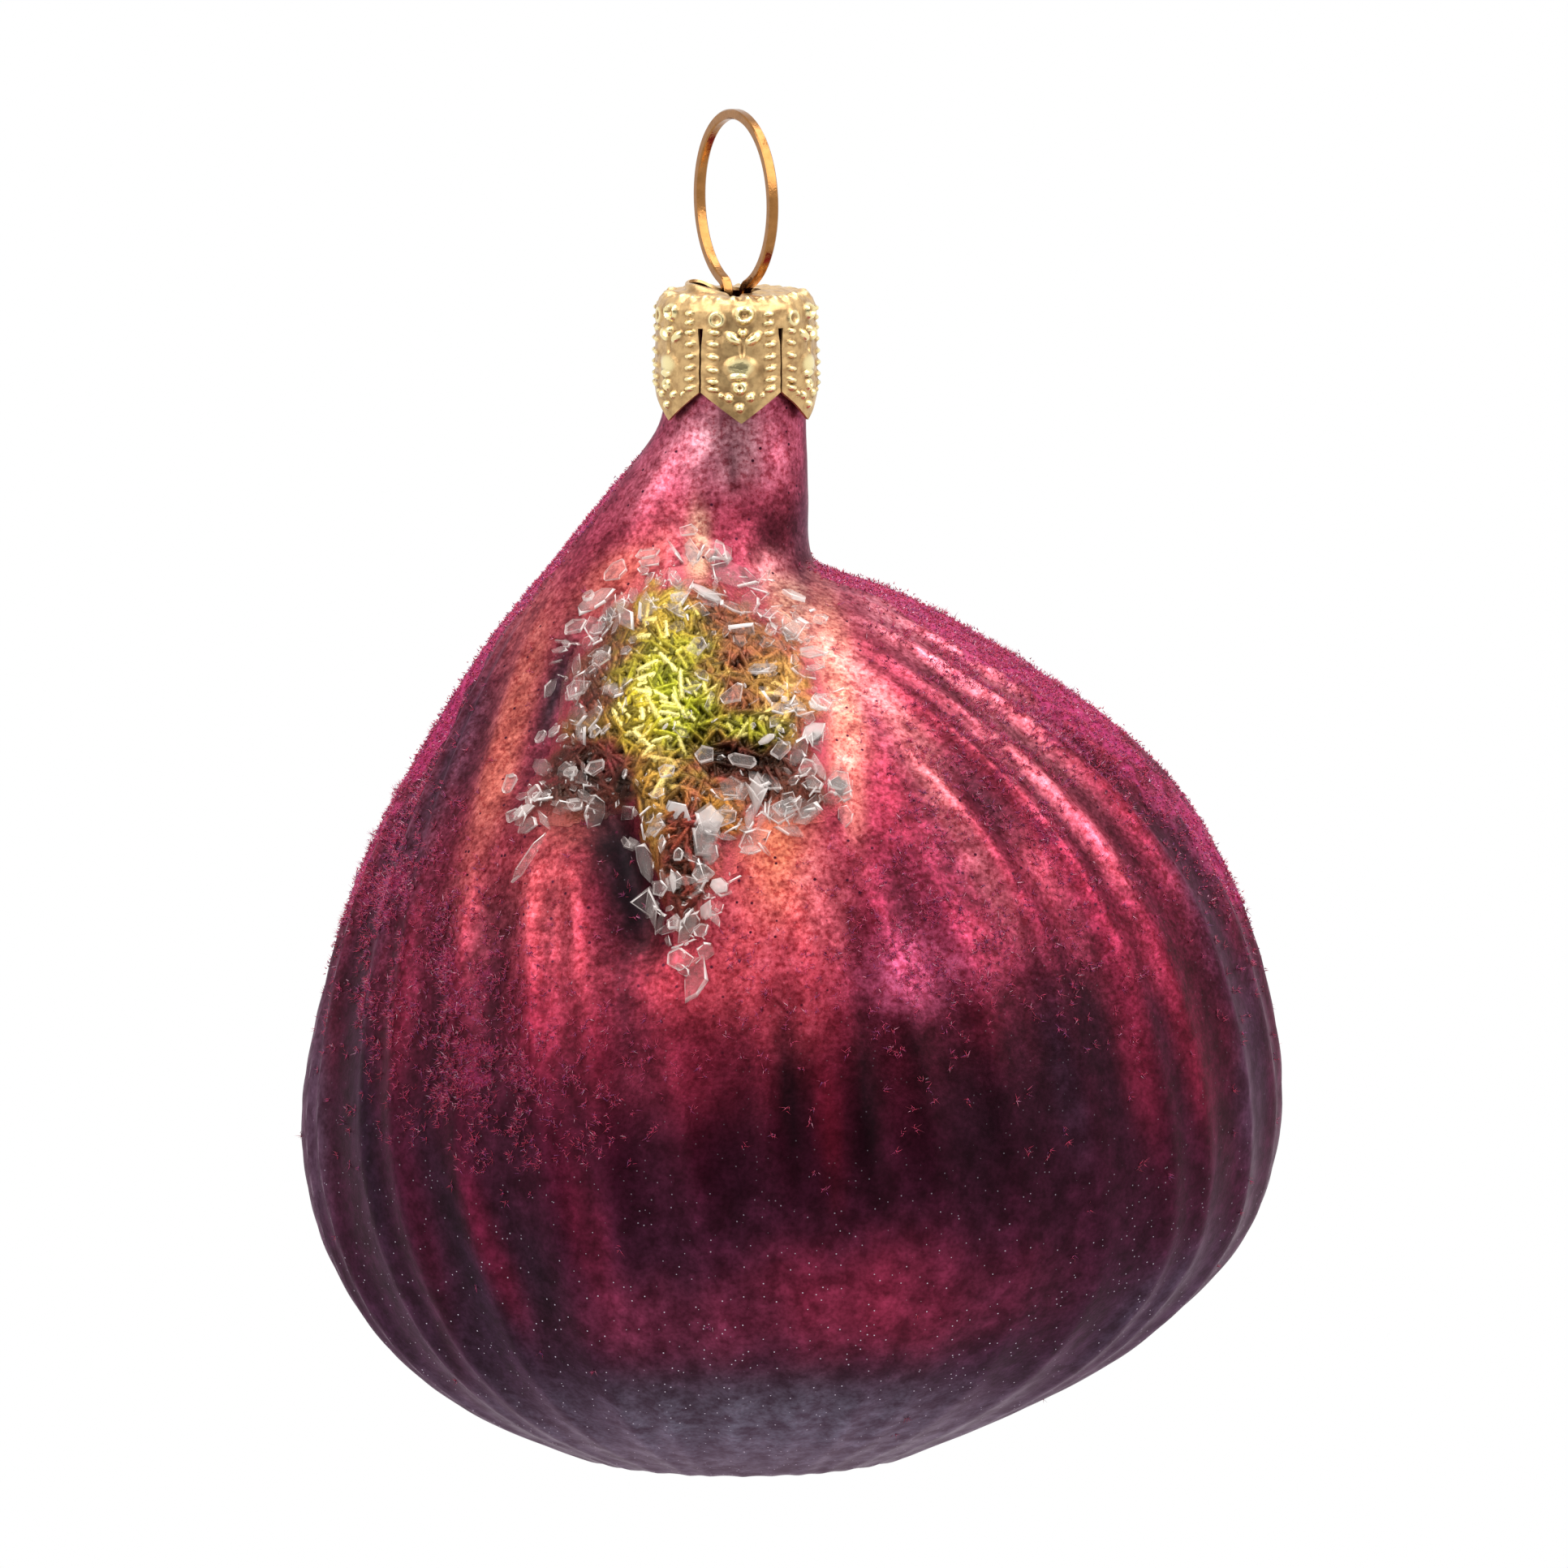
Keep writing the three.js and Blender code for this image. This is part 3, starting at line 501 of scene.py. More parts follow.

# Spray passes: where in mm from the neck's axis and under the straight neck, half width and half
# height in mm, turn in degrees, strength and colour. The front has them, and the back only those that
# go all round. Many passes are painted highlights, reflections and shade over the lacquer's colours.
ALL_ROUND = True
SPRAYS_AND_PAINTED_LIGHT = (
    # neck: painted highlights on two lobes, painted shade in the seam between, and a pale highlight under
    # it
    (-0.8, 1.6, 2.8, 2.4, 0, 0.9, "e0a0aa"),
    (-5.4, 3.6, 1.0, 3.0, 38, 0.7, "e07e90"), (2.9, 2.0, 1.3, 2.6, 0, 0.75, "e27088"),
    (-0.2, 3.0, 0.4, 1.5, 0, 0.75, "3a1a22"), (-1.6, 3.6, 1.0, 2.6, 10, 0.4, "b85a70"),
    (2.2, 7.6, 2.2, 2.4, 0, 0.95, "44101c"), (4.4, 7.6, 0.7, 4.0, 0, 0.8, "54303e", ALL_ROUND),
    (-2.4, 7.6, 0.7, 2.2, 0, 0.8, "e4b894"), (-4.2, 7.0, 1.6, 2.0, 20, 0.5, "b0585e"),
    (-7.6, 7.6, 1.4, 3.6, 36, 0.5, "7c2c3c"),
    (2.3, 9.7, 1.2, 1.0, 0, 0.8, "f08c9c"), (-8.0, 10.2, 3.6, 1.4, -35, 0.65, "d8705c"),
    # round the star: gold and cream where the silvering shines through, partly painted highlight, and
    # painted shadow in its valley
    (3.6, 11.6, 1.0, 2.8, -40, 0.8, "d09c80"), (-10.4, 12.6, 2.6, 2.0, 0, 0.4, "a04c48"),
    (-14.0, 13.4, 1.6, 3.6, 26, 0.6, "b85c58"), (-18.6, 21.5, 1.9, 9.0, 23, 0.88, "43303e"),
    (-14.9, 20.5, 1.1, 8.0, 17, 0.9, "d87462"), (-11.9, 17.6, 1.25, 6.2, 18, 1, "22181e"),
    (-20.2, 23.0, 0.6, 5.0, 24, 0.55, "a03850"),
    (6.6, 14.8, 1.1, 4.6, -14, 0.75, "d49478"),
    (7.2, 20.5, 0.8, 4.0, -8, 0.75, "dc9070"), (2.9, 27.2, 2.2, 4.6, 0, 0.85, "ea8860"),
    (5.6, 28.4, 1.8, 3.8, -6, 0.7, "e06874"),
    (0.4, 30.5, 2.4, 4.5, 0, 0.6, "d85c64"),
    (-12.4, 28.8, 2.2, 3.0, 10, 0.6, "cc5c5c"), (-11.6, 32.5, 3.6, 3.6, 0, 0.55, "c24c58"),
    (-16.6, 30.0, 1.4, 5.0, 5, 0.45, "b85058"), (-10.6, 24.4, 3.2, 2.0, 0, 0.8, "70362e"),
    # painted coral highlights on the ridges that fan out to the right, grey-brown painted reflection and
    # shade in the valleys between
    (9.8, 12.3, 3.0, 1.1, 32, 0.8, "ec8e98"), (14.8, 16.0, 4.8, 1.6, 42, 0.97, "fa8898"),
    (18.4, 20.0, 5.0, 1.5, 47, 0.92, "f4808e"), (23.4, 26.0, 3.2, 0.8, 56, 0.85, "ee6a80"),
    (9.2, 16.8, 4.4, 0.7, 44, 0.75, "de8884"), (12.2, 21.0, 5.4, 0.8, 58, 0.8, "ea8084"),
    (10.0, 19.6, 4.0, 0.6, 52, 0.6, "7c3844"), (15.4, 18.6, 5.0, 0.7, 44, 0.6, "74303e"),
    (16.6, 23.6, 5.0, 0.9, 50, 0.7, "5e1c2c"), (20.6, 24.6, 4.0, 0.6, 50, 0.5, "843044"),
    (19.6, 27.6, 3.6, 0.9, 58, 0.7, "d85468"), (7.4, 21.8, 0.8, 3.6, -8, 0.5, "dc7474"),
    (12.8, 27.4, 3.6, 3.2, 0, 0.65, "70243a"), (11.6, 33.4, 3.0, 2.4, 0, 0.95, "ec6490"),
    (16.2, 27.6, 1.0, 4.5, -30, 0.7, "c4606c"), (16.4, 31.8, 0.9, 3.2, -25, 0.6, "cc4460"),
    (22.0, 32.2, 0.8, 4.4, -28, 0.7, "c63c58"),
    # red glow of the belly, a painted glow, breaking up into dark streaks of painted reflection
    (-2.0, 33.6, 5.6, 3.6, 0, 0.6, "cc4854"), (3.4, 33.8, 2.3, 4.4, -6, 0.92, "ec5468"),
    (-13.0, 36.5, 4.0, 3.0, 0, 0.5, "982840"), (-3.5, 39.0, 6.0, 3.4, 0, 0.6, "942840"),
    (6.0, 42.6, 0.7, 4.4, -6, 0.75, "941e38"), (3.4, 40.5, 1.0, 5.6, -6, 0.9, "18080e"),
    (8.4, 42.0, 1.2, 6.5, -4, 0.92, "14060c"), (11.4, 38.0, 1.2, 3.8, -12, 0.8, "18080e"),
    # plum and near-black low on the right, a painted reflection of the dark surroundings, with crimson
    # ridges beyond and a grey painted sheen on the limb
    (17.0, 42.0, 6.0, 7.0, 0, 0.9, "220a16"), (22.2, 38.5, 3.0, 8.0, -14, 0.8, "260c1a"),
    (21.6, 42.0, 0.9, 6.0, -14, 0.6, "4a2c40"), (25.4, 38.5, 1.0, 7.0, -14, 0.75, "82203a"),
    (27.6, 38.0, 0.8, 6.5, -14, 0.7, "3a1426"), (29.4, 38.0, 1.1, 7.0, -14, 0.75, "822038"),
    (26.0, 32.4, 1.0, 4.0, -30, 0.7, "a02c46"), (31.8, 35.0, 1.4, 7.0, -20, 0.7, "3c2438", ALL_ROUND),
    (29.6, 27.5, 1.6, 5.0, -32, 0.7, "54384a", ALL_ROUND),
    (33.8, 42.0, 1.2, 8.0, 0, 0.7, "463648", ALL_ROUND),
    (24.5, 48.0, 6.0, 4.0, 20, 0.5, "3c1024"),
    # reddish speckled blotch low down, a painted reflection of warm light from below, and grey haze under
    # it and on the limbs, a painted reflection of the pale floor
    (8.6, 54.6, 8.2, 3.8, 0, 0.85, "922a46"), (16.0, 54.0, 5.0, 3.0, 0, 0.45, "64203a"),
    (-4.0, 56.0, 7.0, 3.2, 0, 0.7, "7c2c48"), (2.0, 64.8, 17.0, 3.8, 0, 0.85, "6e6c7c", ALL_ROUND),
    # crimson streaks low on the left with blue-black painted shade between, and a grey painted sheen on
    # the limb
    (-17.4, 52.5, 1.0, 9.5, -18, 0.85, "1a1420"), (-15.8, 51.5, 0.9, 6.0, -22, 0.85, "761c3a"),
    (-12.6, 53.5, 1.0, 5.0, -24, 0.75, "22141f"), (-20.2, 51.5, 0.8, 8.0, -14, 0.8, "641a36"),
    (-23.4, 49.0, 1.0, 8.5, -10, 0.8, "1c1622"), (-9.5, 50.0, 1.2, 6.0, -14, 0.6, "7a1c38"),
    (-14.0, 60.0, 8.0, 3.0, 30, 0.5, "38283a", ALL_ROUND),
    (27.5, 57.0, 6.0, 2.2, -40, 0.7, "4c4656", ALL_ROUND),
    (-27.8, 44.0, 1.4, 12.0, 0, 0.7, "544656", ALL_ROUND),
    (-24.4, 42.0, 1.6, 9.0, -4, 0.75, "241828", ALL_ROUND),
    (-21.4, 27.0, 1.2, 6.0, 24, 0.6, "44303e", ALL_ROUND),
    (-21.0, 49.0, 3.0, 6.0, -10, 0.4, "341428", ALL_ROUND),
    (-19.0, 36.0, 3.2, 4.6, 0, 0.45, "6a1832"), (-23.0, 32.0, 1.2, 6.0, 10, 0.6, "3a2636", ALL_ROUND),
    # painted shadow in the deep hollow beside the star's lower arm
    (-7.2, 26.8, 1.9, 5.4, -13, 1, "0e0608"), (-8.4, 24.4, 1.3, 2.6, 0, 0.6, "1c0c10"),
    (-6.5, 29.8, 1.6, 3.6, -16, 1, "0c0406"),
)

PAINT_FRONT = (-9, 4)
# The pleats' valleys get painted shade and their crests painted highlight
VALLEY_SHADE_COLOUR = "381c2c"
VALLEY_SHADE_SHARE = 0.5
STREAK_SHARE = 0.65
STREAK_DEGREES = 3.4
STREAK_DOWN = 9
CREST_VALLEY_SHADING = 0.7
CREST_VALLEY_SHADING_LOW = 0.3


def turned_oval(x, z, wide, high, turn):
    """A place as seen from an oval's middle, in shares of its half width and half height"""
    c, s = math.cos(math.radians(turn)), math.sin(math.radians(turn))
    return (c * x - s * z) / wide, (s * x + c * z) / high


def painted(points, crests, pleated):
    """The lacquer's colour, with painted shade in the pleats' valleys and painted highlight on crests"""
    down = (neck_end - points[:, 2]) / MM
    heights = [height for height, _ in BASE_COATS_AND_PAINTED_LIGHT]
    coats = np.array([colour(shade) for _, shade in BASE_COATS_AND_PAINTED_LIGHT])
    paint = np.stack([np.interp(down, heights, coats[:, k]) for k in range(4)], axis=1)
    ragged = waves(points * (1, 1, 0.35), 4 * MM, 11) + 0.6 * waves(points, 1.3 * MM, 12)
    front = smoothstep(4 * ragged - points[:, 1] / MM, *PAINT_FRONT)
    for x, drop, wide, high, turn, strength, shade, *all_round in SPRAYS_AND_PAINTED_LIGHT:
        across, along = turned_oval(points[:, 0] / MM - x, drop - down, wide, high, turn)
        share = strength * np.exp(-(np.hypot(across, along) + 0.25 * ragged).clip(0) ** 2.5)
        share = share * (1 if all_round else front)
        paint += share[:, None] * (np.array(colour(shade)) - paint)
    around = np.degrees(np.arctan2(points[:, 1], points[:, 0])) / STREAK_DEGREES
    streak = waves(np.stack([around, down / STREAK_DOWN, np.zeros(len(down))], axis=1), 1, 13)
    streak += 0.5 * waves(np.stack([2.3 * around, down / 5, np.ones(len(down))], axis=1), 1, 14)
    paint[:, :3] *= (1 + STREAK_SHARE * pleated * streak).clip(0.3, 1.5)[:, None]
    # Painted shade in the valleys and painted highlight on the crests, where the lacquer also pools and
    # thins
    valley_shade = (pleated * (1 - crests.clip(0, 1)) ** 2).clip(0, 1)
    paint += (VALLEY_SHADE_SHARE * valley_shade * front)[:, None] * (np.array(colour(VALLEY_SHADE_COLOUR)) - paint)
    crest_valley_shading = (CREST_VALLEY_SHADING + (CREST_VALLEY_SHADING_LOW - CREST_VALLEY_SHADING) * smoothstep(down, 36, 48)) * pleated
    paint[:, :3] *= (1 + crest_valley_shading * (crests.clip(0, 1.1) - 0.55))[:, None]
    return paint


# The flock is a thick felt over the back and the top of both shoulders, whose edge shows from the
# front: the angles in degrees and the mould's rings between which it lies, the ring from which it
# starts on the left, the angles over which it climbs to there, and how ragged and how soft its edge
# is. On the front, but not on the star, there are only single fibres.
FELT_LEFT = -168
FELT_RIGHT = -22
FELT_RINGS = (3.2, 8.4)
FELT_TOP_LEFT = 1.3
FELT_CLIMB = (60, 150)
FELT_EDGE = 5
FELT_SOFT = 4
SINGLE_FIBRES = 0.012
FLOCK_BY_STAR = (1.05, 1.3)

# Thinner patches on the front: place in mm as for the sprays, half sizes, turn and how dense
FLOCK_PATCHES = (
    (-19.0, 35.0, 4.6, 6.5, -8, 0.9), (-15.0, 41.0, 4.0, 4.0, 0, 0.6), (-22.5, 29.0, 1.6, 6.0, 18, 0.6),
    (-10.0, 40.0, 3.5, 3.5, 0, 0.35), (17.0, 17.0, 6.0, 1.4, 40, 0.6), (18.4, 23.4, 5.0, 1.2, 47, 0.8),
    (22.0, 20.5, 4.5, 1.6, 42, 0.6), (12.5, 26.0, 4.0, 4.0, 30, 0.5), (15.5, 33.0, 3.6, 1.6, 0, 0.6),
    (12.0, 31.0, 3.0, 3.0, 0, 0.4), (6.0, 33.0, 9.0, 5.0, 0, 0.14), (22.0, 32.0, 6.0, 5.0, 0, 0.14),
    (14.0, 17.0, 6.0, 4.0, 30, 0.25),
)


def flock_cover(points, angle, ring):
    down = (neck_end - points[:, 2]) / MM
    degrees = np.degrees(angle_from(angle, 0))
    edge = 1.6 * waves(points, 11 * MM, 26) + waves(points, 5 * MM, 23)
    edge = FELT_EDGE * (edge + waves(points, 1.5 * MM, 24) + 0.6 * waves(points, 0.6 * MM, 25))
    past_left = smoothstep(FELT_LEFT - degrees + edge, -FELT_SOFT, FELT_SOFT)
    past_right = smoothstep(degrees - FELT_RIGHT + edge, -FELT_SOFT, FELT_SOFT)
    behind = np.maximum(np.where(degrees > 90, 1, past_left), np.where(degrees < -90, 0, past_right))
    felt_low, felt_high = FELT_RINGS
    climb = np.where(degrees < -90, 1, smoothstep(degrees, *FELT_CLIMB))
    starts = felt_low + (FELT_TOP_LEFT - felt_low) * climb
    felt = behind * smoothstep(ring + 0.1 * edge - starts, -0.5, 0.5)
    felt *= 1 - smoothstep(ring + 0.24 * edge, felt_high - 1.6, felt_high + 0.6)
    thin = SINGLE_FIBRES * smoothstep(down, 10, 18) * (1 - 0.9 * smoothstep(down, 40, 50))
    front = smoothstep(-points[:, 1] / MM, -8, 2)
    for x, drop, wide, high, turn, dense in FLOCK_PATCHES:
        across, along = turned_oval(points[:, 0] / MM - x, drop - down, wide, high, turn)
        thin += dense * front * np.exp(-(across**2 + along**2))
    thin *= (0.35 + 1.3 * waves(points, 2.2 * MM, 21) + waves(points, 0.9 * MM, 22)).clip(0)
    off_star = smoothstep(star_share(points[:, 0], points[:, 2]), *FLOCK_BY_STAR)
    off_star = np.where(points[:, 1] < 0, off_star, 1)
    return felt, np.clip(thin, 0, 1) * off_star * smoothstep(down, 3, 10)


glass_points = points_of(glass.data)
glass_angle, glass_ring = skin_places(glass.data)
inside = np.zeros(len(glass_points) - outer_count)
felt, thin_flock = flock_cover(glass_points, glass_angle, glass_ring)
set_point_colour(glass.data, "lacquer", painted(
    glass_points, np.concatenate([crests, inside]), np.concatenate([depth_share, inside])))
set_point_value(glass.data, "flocked", np.maximum(felt, 0.6 * thin_flock))


def new_finish(name):
    material = bpy.data.materials.new(name)
    material.use_nodes = True
    return material, material.node_tree, material.node_tree.nodes["Principled BSDF"]


def join(tree, socket, value):
    if isinstance(value, bpy.types.NodeSocket):
        tree.links.new(value, socket)
    else:
        socket.default_value = value


def set_inputs(tree, node, sockets):
    for name, value in sockets.items():
        join(tree, node.inputs[name], value)


def add_node(tree, kind, sockets=None, **settings):
    made = tree.nodes.new("ShaderNode" + kind)
    for name, value in settings.items():
        setattr(made, name, value)
    set_inputs(tree, made, sockets or {})
    return made


def from_mesh(tree, name, output="Fac"):
    """What the piece's mesh says under that name"""
    return add_node(tree, "Attribute", attribute_name=name).outputs[output]


def mixed(tree, share, first, second, way="MIX"):
    """A colour between two, by a share from 0 to 1"""
    mix = add_node(tree, "Mix", data_type="RGBA", blend_type=way)
    for socket, value in zip((mix.inputs[0], mix.inputs[6], mix.inputs[7]), (share, first, second)):
        join(tree, socket, value)
    return mix.outputs[2]


def sums(tree, way, first, second=0.0):
    math_node = add_node(tree, "Math", operation=way)
    join(tree, math_node.inputs[0], first)
    join(tree, math_node.inputs[1], second)
    return math_node.outputs[0]


def ramped(tree, value, low, high, to_low=0.0, to_high=1.0):
    sockets = {"Value": value, "From Min": low, "From Max": high, "To Min": to_low, "To Max": to_high}
    return add_node(tree, "MapRange", sockets, interpolation_type="SMOOTHSTEP").outputs[0]


def on_object(tree):
    return add_node(tree, "TexCoord").outputs["Object"]


def grain(tree, size, detail=2.0, rough=0.5):
    """Noise whose grain has that size in metres"""
    sockets = {"Vector": on_object(tree), "Scale": 1 / size, "Detail": detail, "Roughness": rough}
    return add_node(tree, "TexNoise", sockets).outputs[0]


def specks(tree, spacing, radius, share):
    """Dots of that radius in metres, in that share of cells of that spacing"""
    cells = add_node(tree, "TexVoronoi", {"Vector": on_object(tree), "Scale": 1 / spacing})
    dots = ramped(tree, cells.outputs["Distance"], radius / spacing, 0.6 * radius / spacing)
    apart = add_node(tree, "SeparateColor", {"Color": cells.outputs["Color"]})
    chosen = sums(tree, "LESS_THAN", apart.outputs[0], share)
    return sums(tree, "MULTIPLY", dots, chosen), apart.outputs[1]


def bumped(tree, height, deep, strength=1.0):
    sockets = {"Height": height, "Distance": deep, "Strength": strength}
    return add_node(tree, "Bump", sockets).outputs[0]


lacquer, tree, shader = new_finish("satin_lacquer_on_silver")
paint = from_mesh(tree, "lacquer", "Color")
felt_share = from_mesh(tree, "flocked")
height = add_node(tree, "SeparateXYZ", {"Vector": on_object(tree)}).outputs[2]

# Clouds in the sprays, then fine speckle and pinholes above, dust below, and rare gold glints
mottle = grain(tree, 1.4 * MM, detail=4, rough=0.6)
fine_mottle = grain(tree, 0.28 * MM, detail=2)
paint = mixed(tree, ramped(tree, mottle, 0.42, 0.66, 0, 0.6), paint, colour("843c5c"), "MULTIPLY")
paint = mixed(tree, ramped(tree, mottle, 0.46, 0.3, 0, 0.45), paint, paint, "SCREEN")
paint = mixed(tree, ramped(tree, fine_mottle, 0.35, 0.7, 0, 0.4), paint, colour("8a4a64"), "MULTIPLY")
speckle = grain(tree, 0.36 * MM, detail=3, rough=0.7)
upper = ramped(tree, height, -66 * MM, -50 * MM)
speckled = sums(tree, "MULTIPLY", ramped(tree, speckle, 0.5, 0.62, 0, 0.65), upper)
paint = mixed(tree, speckled, paint, colour("b43c5c"), "MULTIPLY")
pale = sums(tree, "MULTIPLY", ramped(tree, speckle, 0.48, 0.36, 0, 0.6), upper)
paint = mixed(tree, pale, paint, paint, "SCREEN")
pinholes, _ = specks(tree, 0.8 * MM, 0.13 * MM, 0.45)
paint = mixed(tree, sums(tree, "MULTIPLY", pinholes, upper), paint, colour("3a0c1e"))
dust, _ = specks(tree, 0.42 * MM, 0.055 * MM, 0.5)
lower = ramped(tree, height, -60 * MM, -80 * MM, 0.08, 0.9)
paint = mixed(tree, sums(tree, "MULTIPLY", dust, lower), paint, colour("e8dcec"))
glints, _ = specks(tree, 6 * MM, 0.12 * MM, 0.12)
paint = mixed(tree, glints, paint, colour("e8b878"))

# Under the felt the lacquer takes on the flock's colours and is dull
felted = ramped(tree, sums(tree, "ADD", felt_share, sums(tree, "MULTIPLY", mottle, 0.5)), 0.5, 1.0)
felt_grain = ramped(tree, grain(tree, 0.45 * MM, 3), 0.35, 0.65)
felt_shade = mixed(tree, felt_grain, colour("7c1440"), colour("b03468"))
paint = mixed(tree, sums(tree, "MULTIPLY", felted, 0.85), paint, felt_shade)
satin = sums(tree, "ADD", ramped(tree, mottle, 0.3, 0.7, 0.3, 0.4), sums(tree, "MULTIPLY", felted, 0.3))
set_inputs(tree, shader, {
    "Base Color": paint,
    "Metallic": ramped(tree, felted, 0, 1, 0.7, 0.0),
    "Roughness": satin,
    "Normal": bumped(tree, fine_mottle, 0.03 * MM, 0.5),
    "Specular IOR Level": 0.25,
    "Specular Tint": colour("c8a8bc"),
    "Coat Weight": 0.04,
    "Coat Roughness": 0.4,
})
glass.data.materials.append(lacquer)


# Glue star. Glitter glue brushed on in a star: crinkled, bright yellow-green in the middle, running
# out into amber and brown where it thins over the red lacquer.
GLUE_THICK = 0.45 * MM
GLUE_UNDER = 0.025 * MM
GLUE_THINS = (0.5, 1.0)
GLUE_ENDS = (0.8, 1.0)
GLUE_THIN_SHARE = 0.15
GLUE_DETAIL_KEPT = 0.78
STRANDS = 2600
STRANDS_NEAR = 16
STRAND_WIDE = 0.16 * MM
STRAND_LONG = 0.85 * MM
STRAND_STEEP = 0.15 * MM


def in_order(points):
    """The points' numbers by place, because an extrusion numbers its faces anew in each run"""
    return np.lexsort(np.round(points / (0.001 * MM)).T)


edit(glass, "DESELECT")
bpy.ops.mesh.select_mode(type="FACE")
bpy.ops.object.mode_set(mode="OBJECT")
centres = np.array([p.center for p in glass.data.polygons])
facing = np.array([p.normal.y for p in glass.data.polygons])
in_star = (centres[:, 1] < -2 * MM) & (facing < 0) & (star_share(centres[:, 0], centres[:, 2]) < 1.0)
glass.data.polygons.foreach_set("select", in_star)
bpy.ops.object.mode_set(mode="EDIT")
bpy.ops.mesh.duplicate()
bpy.ops.mesh.separate(type="SELECTED")
bpy.ops.object.mode_set(mode="OBJECT")
star = next(o for o in bpy.context.selected_objects if o is not glass)
star.name = star.data.name = "glitter_glue_star"
star.data.materials.clear()
for name in ("lacquer", "flocked"):
    star.data.attributes.remove(star.data.attributes[name])
finished(star, "SUBSURF", levels=2, render_levels=2)

# The film is crinkled into short thin strands that lie over each other in all directions
rng = np.random.default_rng(7)
star_points = points_of(star.data)
star_normals = normals_of(star.data)
edge_share = star_share(star_points[:, 0], star_points[:, 2])
seeds = star_points[in_order(star_points)[rng.choice(len(star_points), STRANDS, replace=False)]]
lie = rng.uniform(0, math.pi, STRANDS)
strand_top = rng.uniform(-0.1, 0.2, STRANDS) * MM
seed_tree = KDTree(STRANDS)
for i, (x, _, z) in enumerate(seeds):
    seed_tree.insert((x, 0, z), i)
seed_tree.balance()
near = np.array([
    [number for _, number, _ in seed_tree.find_n((x, 0, z), STRANDS_NEAR)] for x, _, z in star_points])
dx = star_points[:, None, 0] - seeds[near, 0]
dz = star_points[:, None, 2] - seeds[near, 2]
along = (np.cos(lie[near]) * dx + np.sin(lie[near]) * dz) / STRAND_LONG
across = (-np.sin(lie[near]) * dx + np.cos(lie[near]) * dz) / STRAND_WIDE
strand_height = strand_top[near] - STRAND_STEEP * (across**2 + along**4)
best = np.argmax(strand_height, axis=1)
rows = np.arange(len(star_points))
nearest = near[rows, best]
crinkle = strand_height[rows, best].clip(-0.3 * MM, 0.25 * MM)
thick = 1 - smoothstep(edge_share, *GLUE_THINS)
thin = 1 - smoothstep(edge_share, *GLUE_ENDS)
height_share = GLUE_THIN_SHARE * thin + (1 - GLUE_THIN_SHARE) * thick
height_over = GLUE_UNDER + (GLUE_THICK + crinkle) * height_share
move_points(star.data, star_points + star_normals * np.maximum(height_over, GLUE_UNDER)[:, None])

# Its colours over the lacquer that shows through the clear glue: place in mm from the star's middle,
# half width and half height, turn, strength, colour. The near-black tones in the pockets and hollows
# below the middle are painted shade.
GLUE_TONES_AND_POCKET_SHADE = (
    (0.3, 0.5, 8.5, 8.0, 0, 0.85, "84422a"), (-8.6, -5.6, 5.0, 2.8, 28, 0.92, "3c1814"),
    (8.4, -4.6, 4.6, 3.6, 0, 0.88, "4c2018"), (7.4, 3.0, 3.2, 4.0, 0, 0.6, "9a6434"),
    (3.6, 4.6, 2.6, 3.0, 0, 0.6, "8c5a30"), (-5.6, 3.4, 2.6, 3.6, 0, 0.7, "6c4038"),
    (6.4, 1.4, 2.6, 1.8, 0, 0.75, "b88a3c"), (-0.4, 1.3, 2.6, 5.6, 4, 0.97, "b4a830"),
    (-0.8, 6.0, 1.5, 1.8, 0, 0.8, "c8a438"), (0.4, 0.6, 2.2, 2.8, 20, 0.9, "bcc02c"),
    (-2.4, -0.4, 1.5, 1.7, 0, 0.85, "ccb42c"), (-4.8, -1.2, 2.2, 0.7, 12, 0.8, "a07c30"),
    (5.0, -1.0, 2.6, 0.9, -8, 0.95, "c0bc34"), (-1.4, -5.6, 0.9, 3.6, 6, 0.9, "d0983c"),
    (2.8, -5.9, 1.7, 1.1, 0, 0.9, "b87c24"), (-5.6, -4.4, 2.4, 1.5, 10, 0.92, "441c1a"),
    (3.8, -3.0, 3.0, 1.1, -6, 0.98, "1c0c0a"), (-2.9, -4.6, 0.7, 2.0, 16, 0.9, "200e10"),
    (5.6, -4.6, 1.6, 1.4, 0, 0.8, "5c2a1e"), (0.6, -7.0, 0.9, 2.4, 0, 0.7, "843a24"),
    (0.9, -11.0, 2.2, 4.0, 0, 0.85, "743020"),
)
plain = np.zeros(len(star_points))
tones = painted(star_points, plain, plain)
ragged = waves(star_points, 1.6 * MM, 31) + 0.5 * waves(star_points, 0.6 * MM, 33)
film = 1 - smoothstep(edge_share + 0.12 * ragged, 0.8, 0.98)
for x, z, wide, high, turn, strength, shade in GLUE_TONES_AND_POCKET_SHADE:
    dx, dz = (star_points[:, 0] - STAR_X) / MM - x, (star_points[:, 2] - star_z) / MM - z
    spread = np.hypot(*turned_oval(dx, dz, wide, high, -turn))
    share = strength * film * np.exp(-(spread + 0.4 * ragged).clip(0) ** 3)
    tones += share[:, None] * (np.array(colour(shade)) - tones)

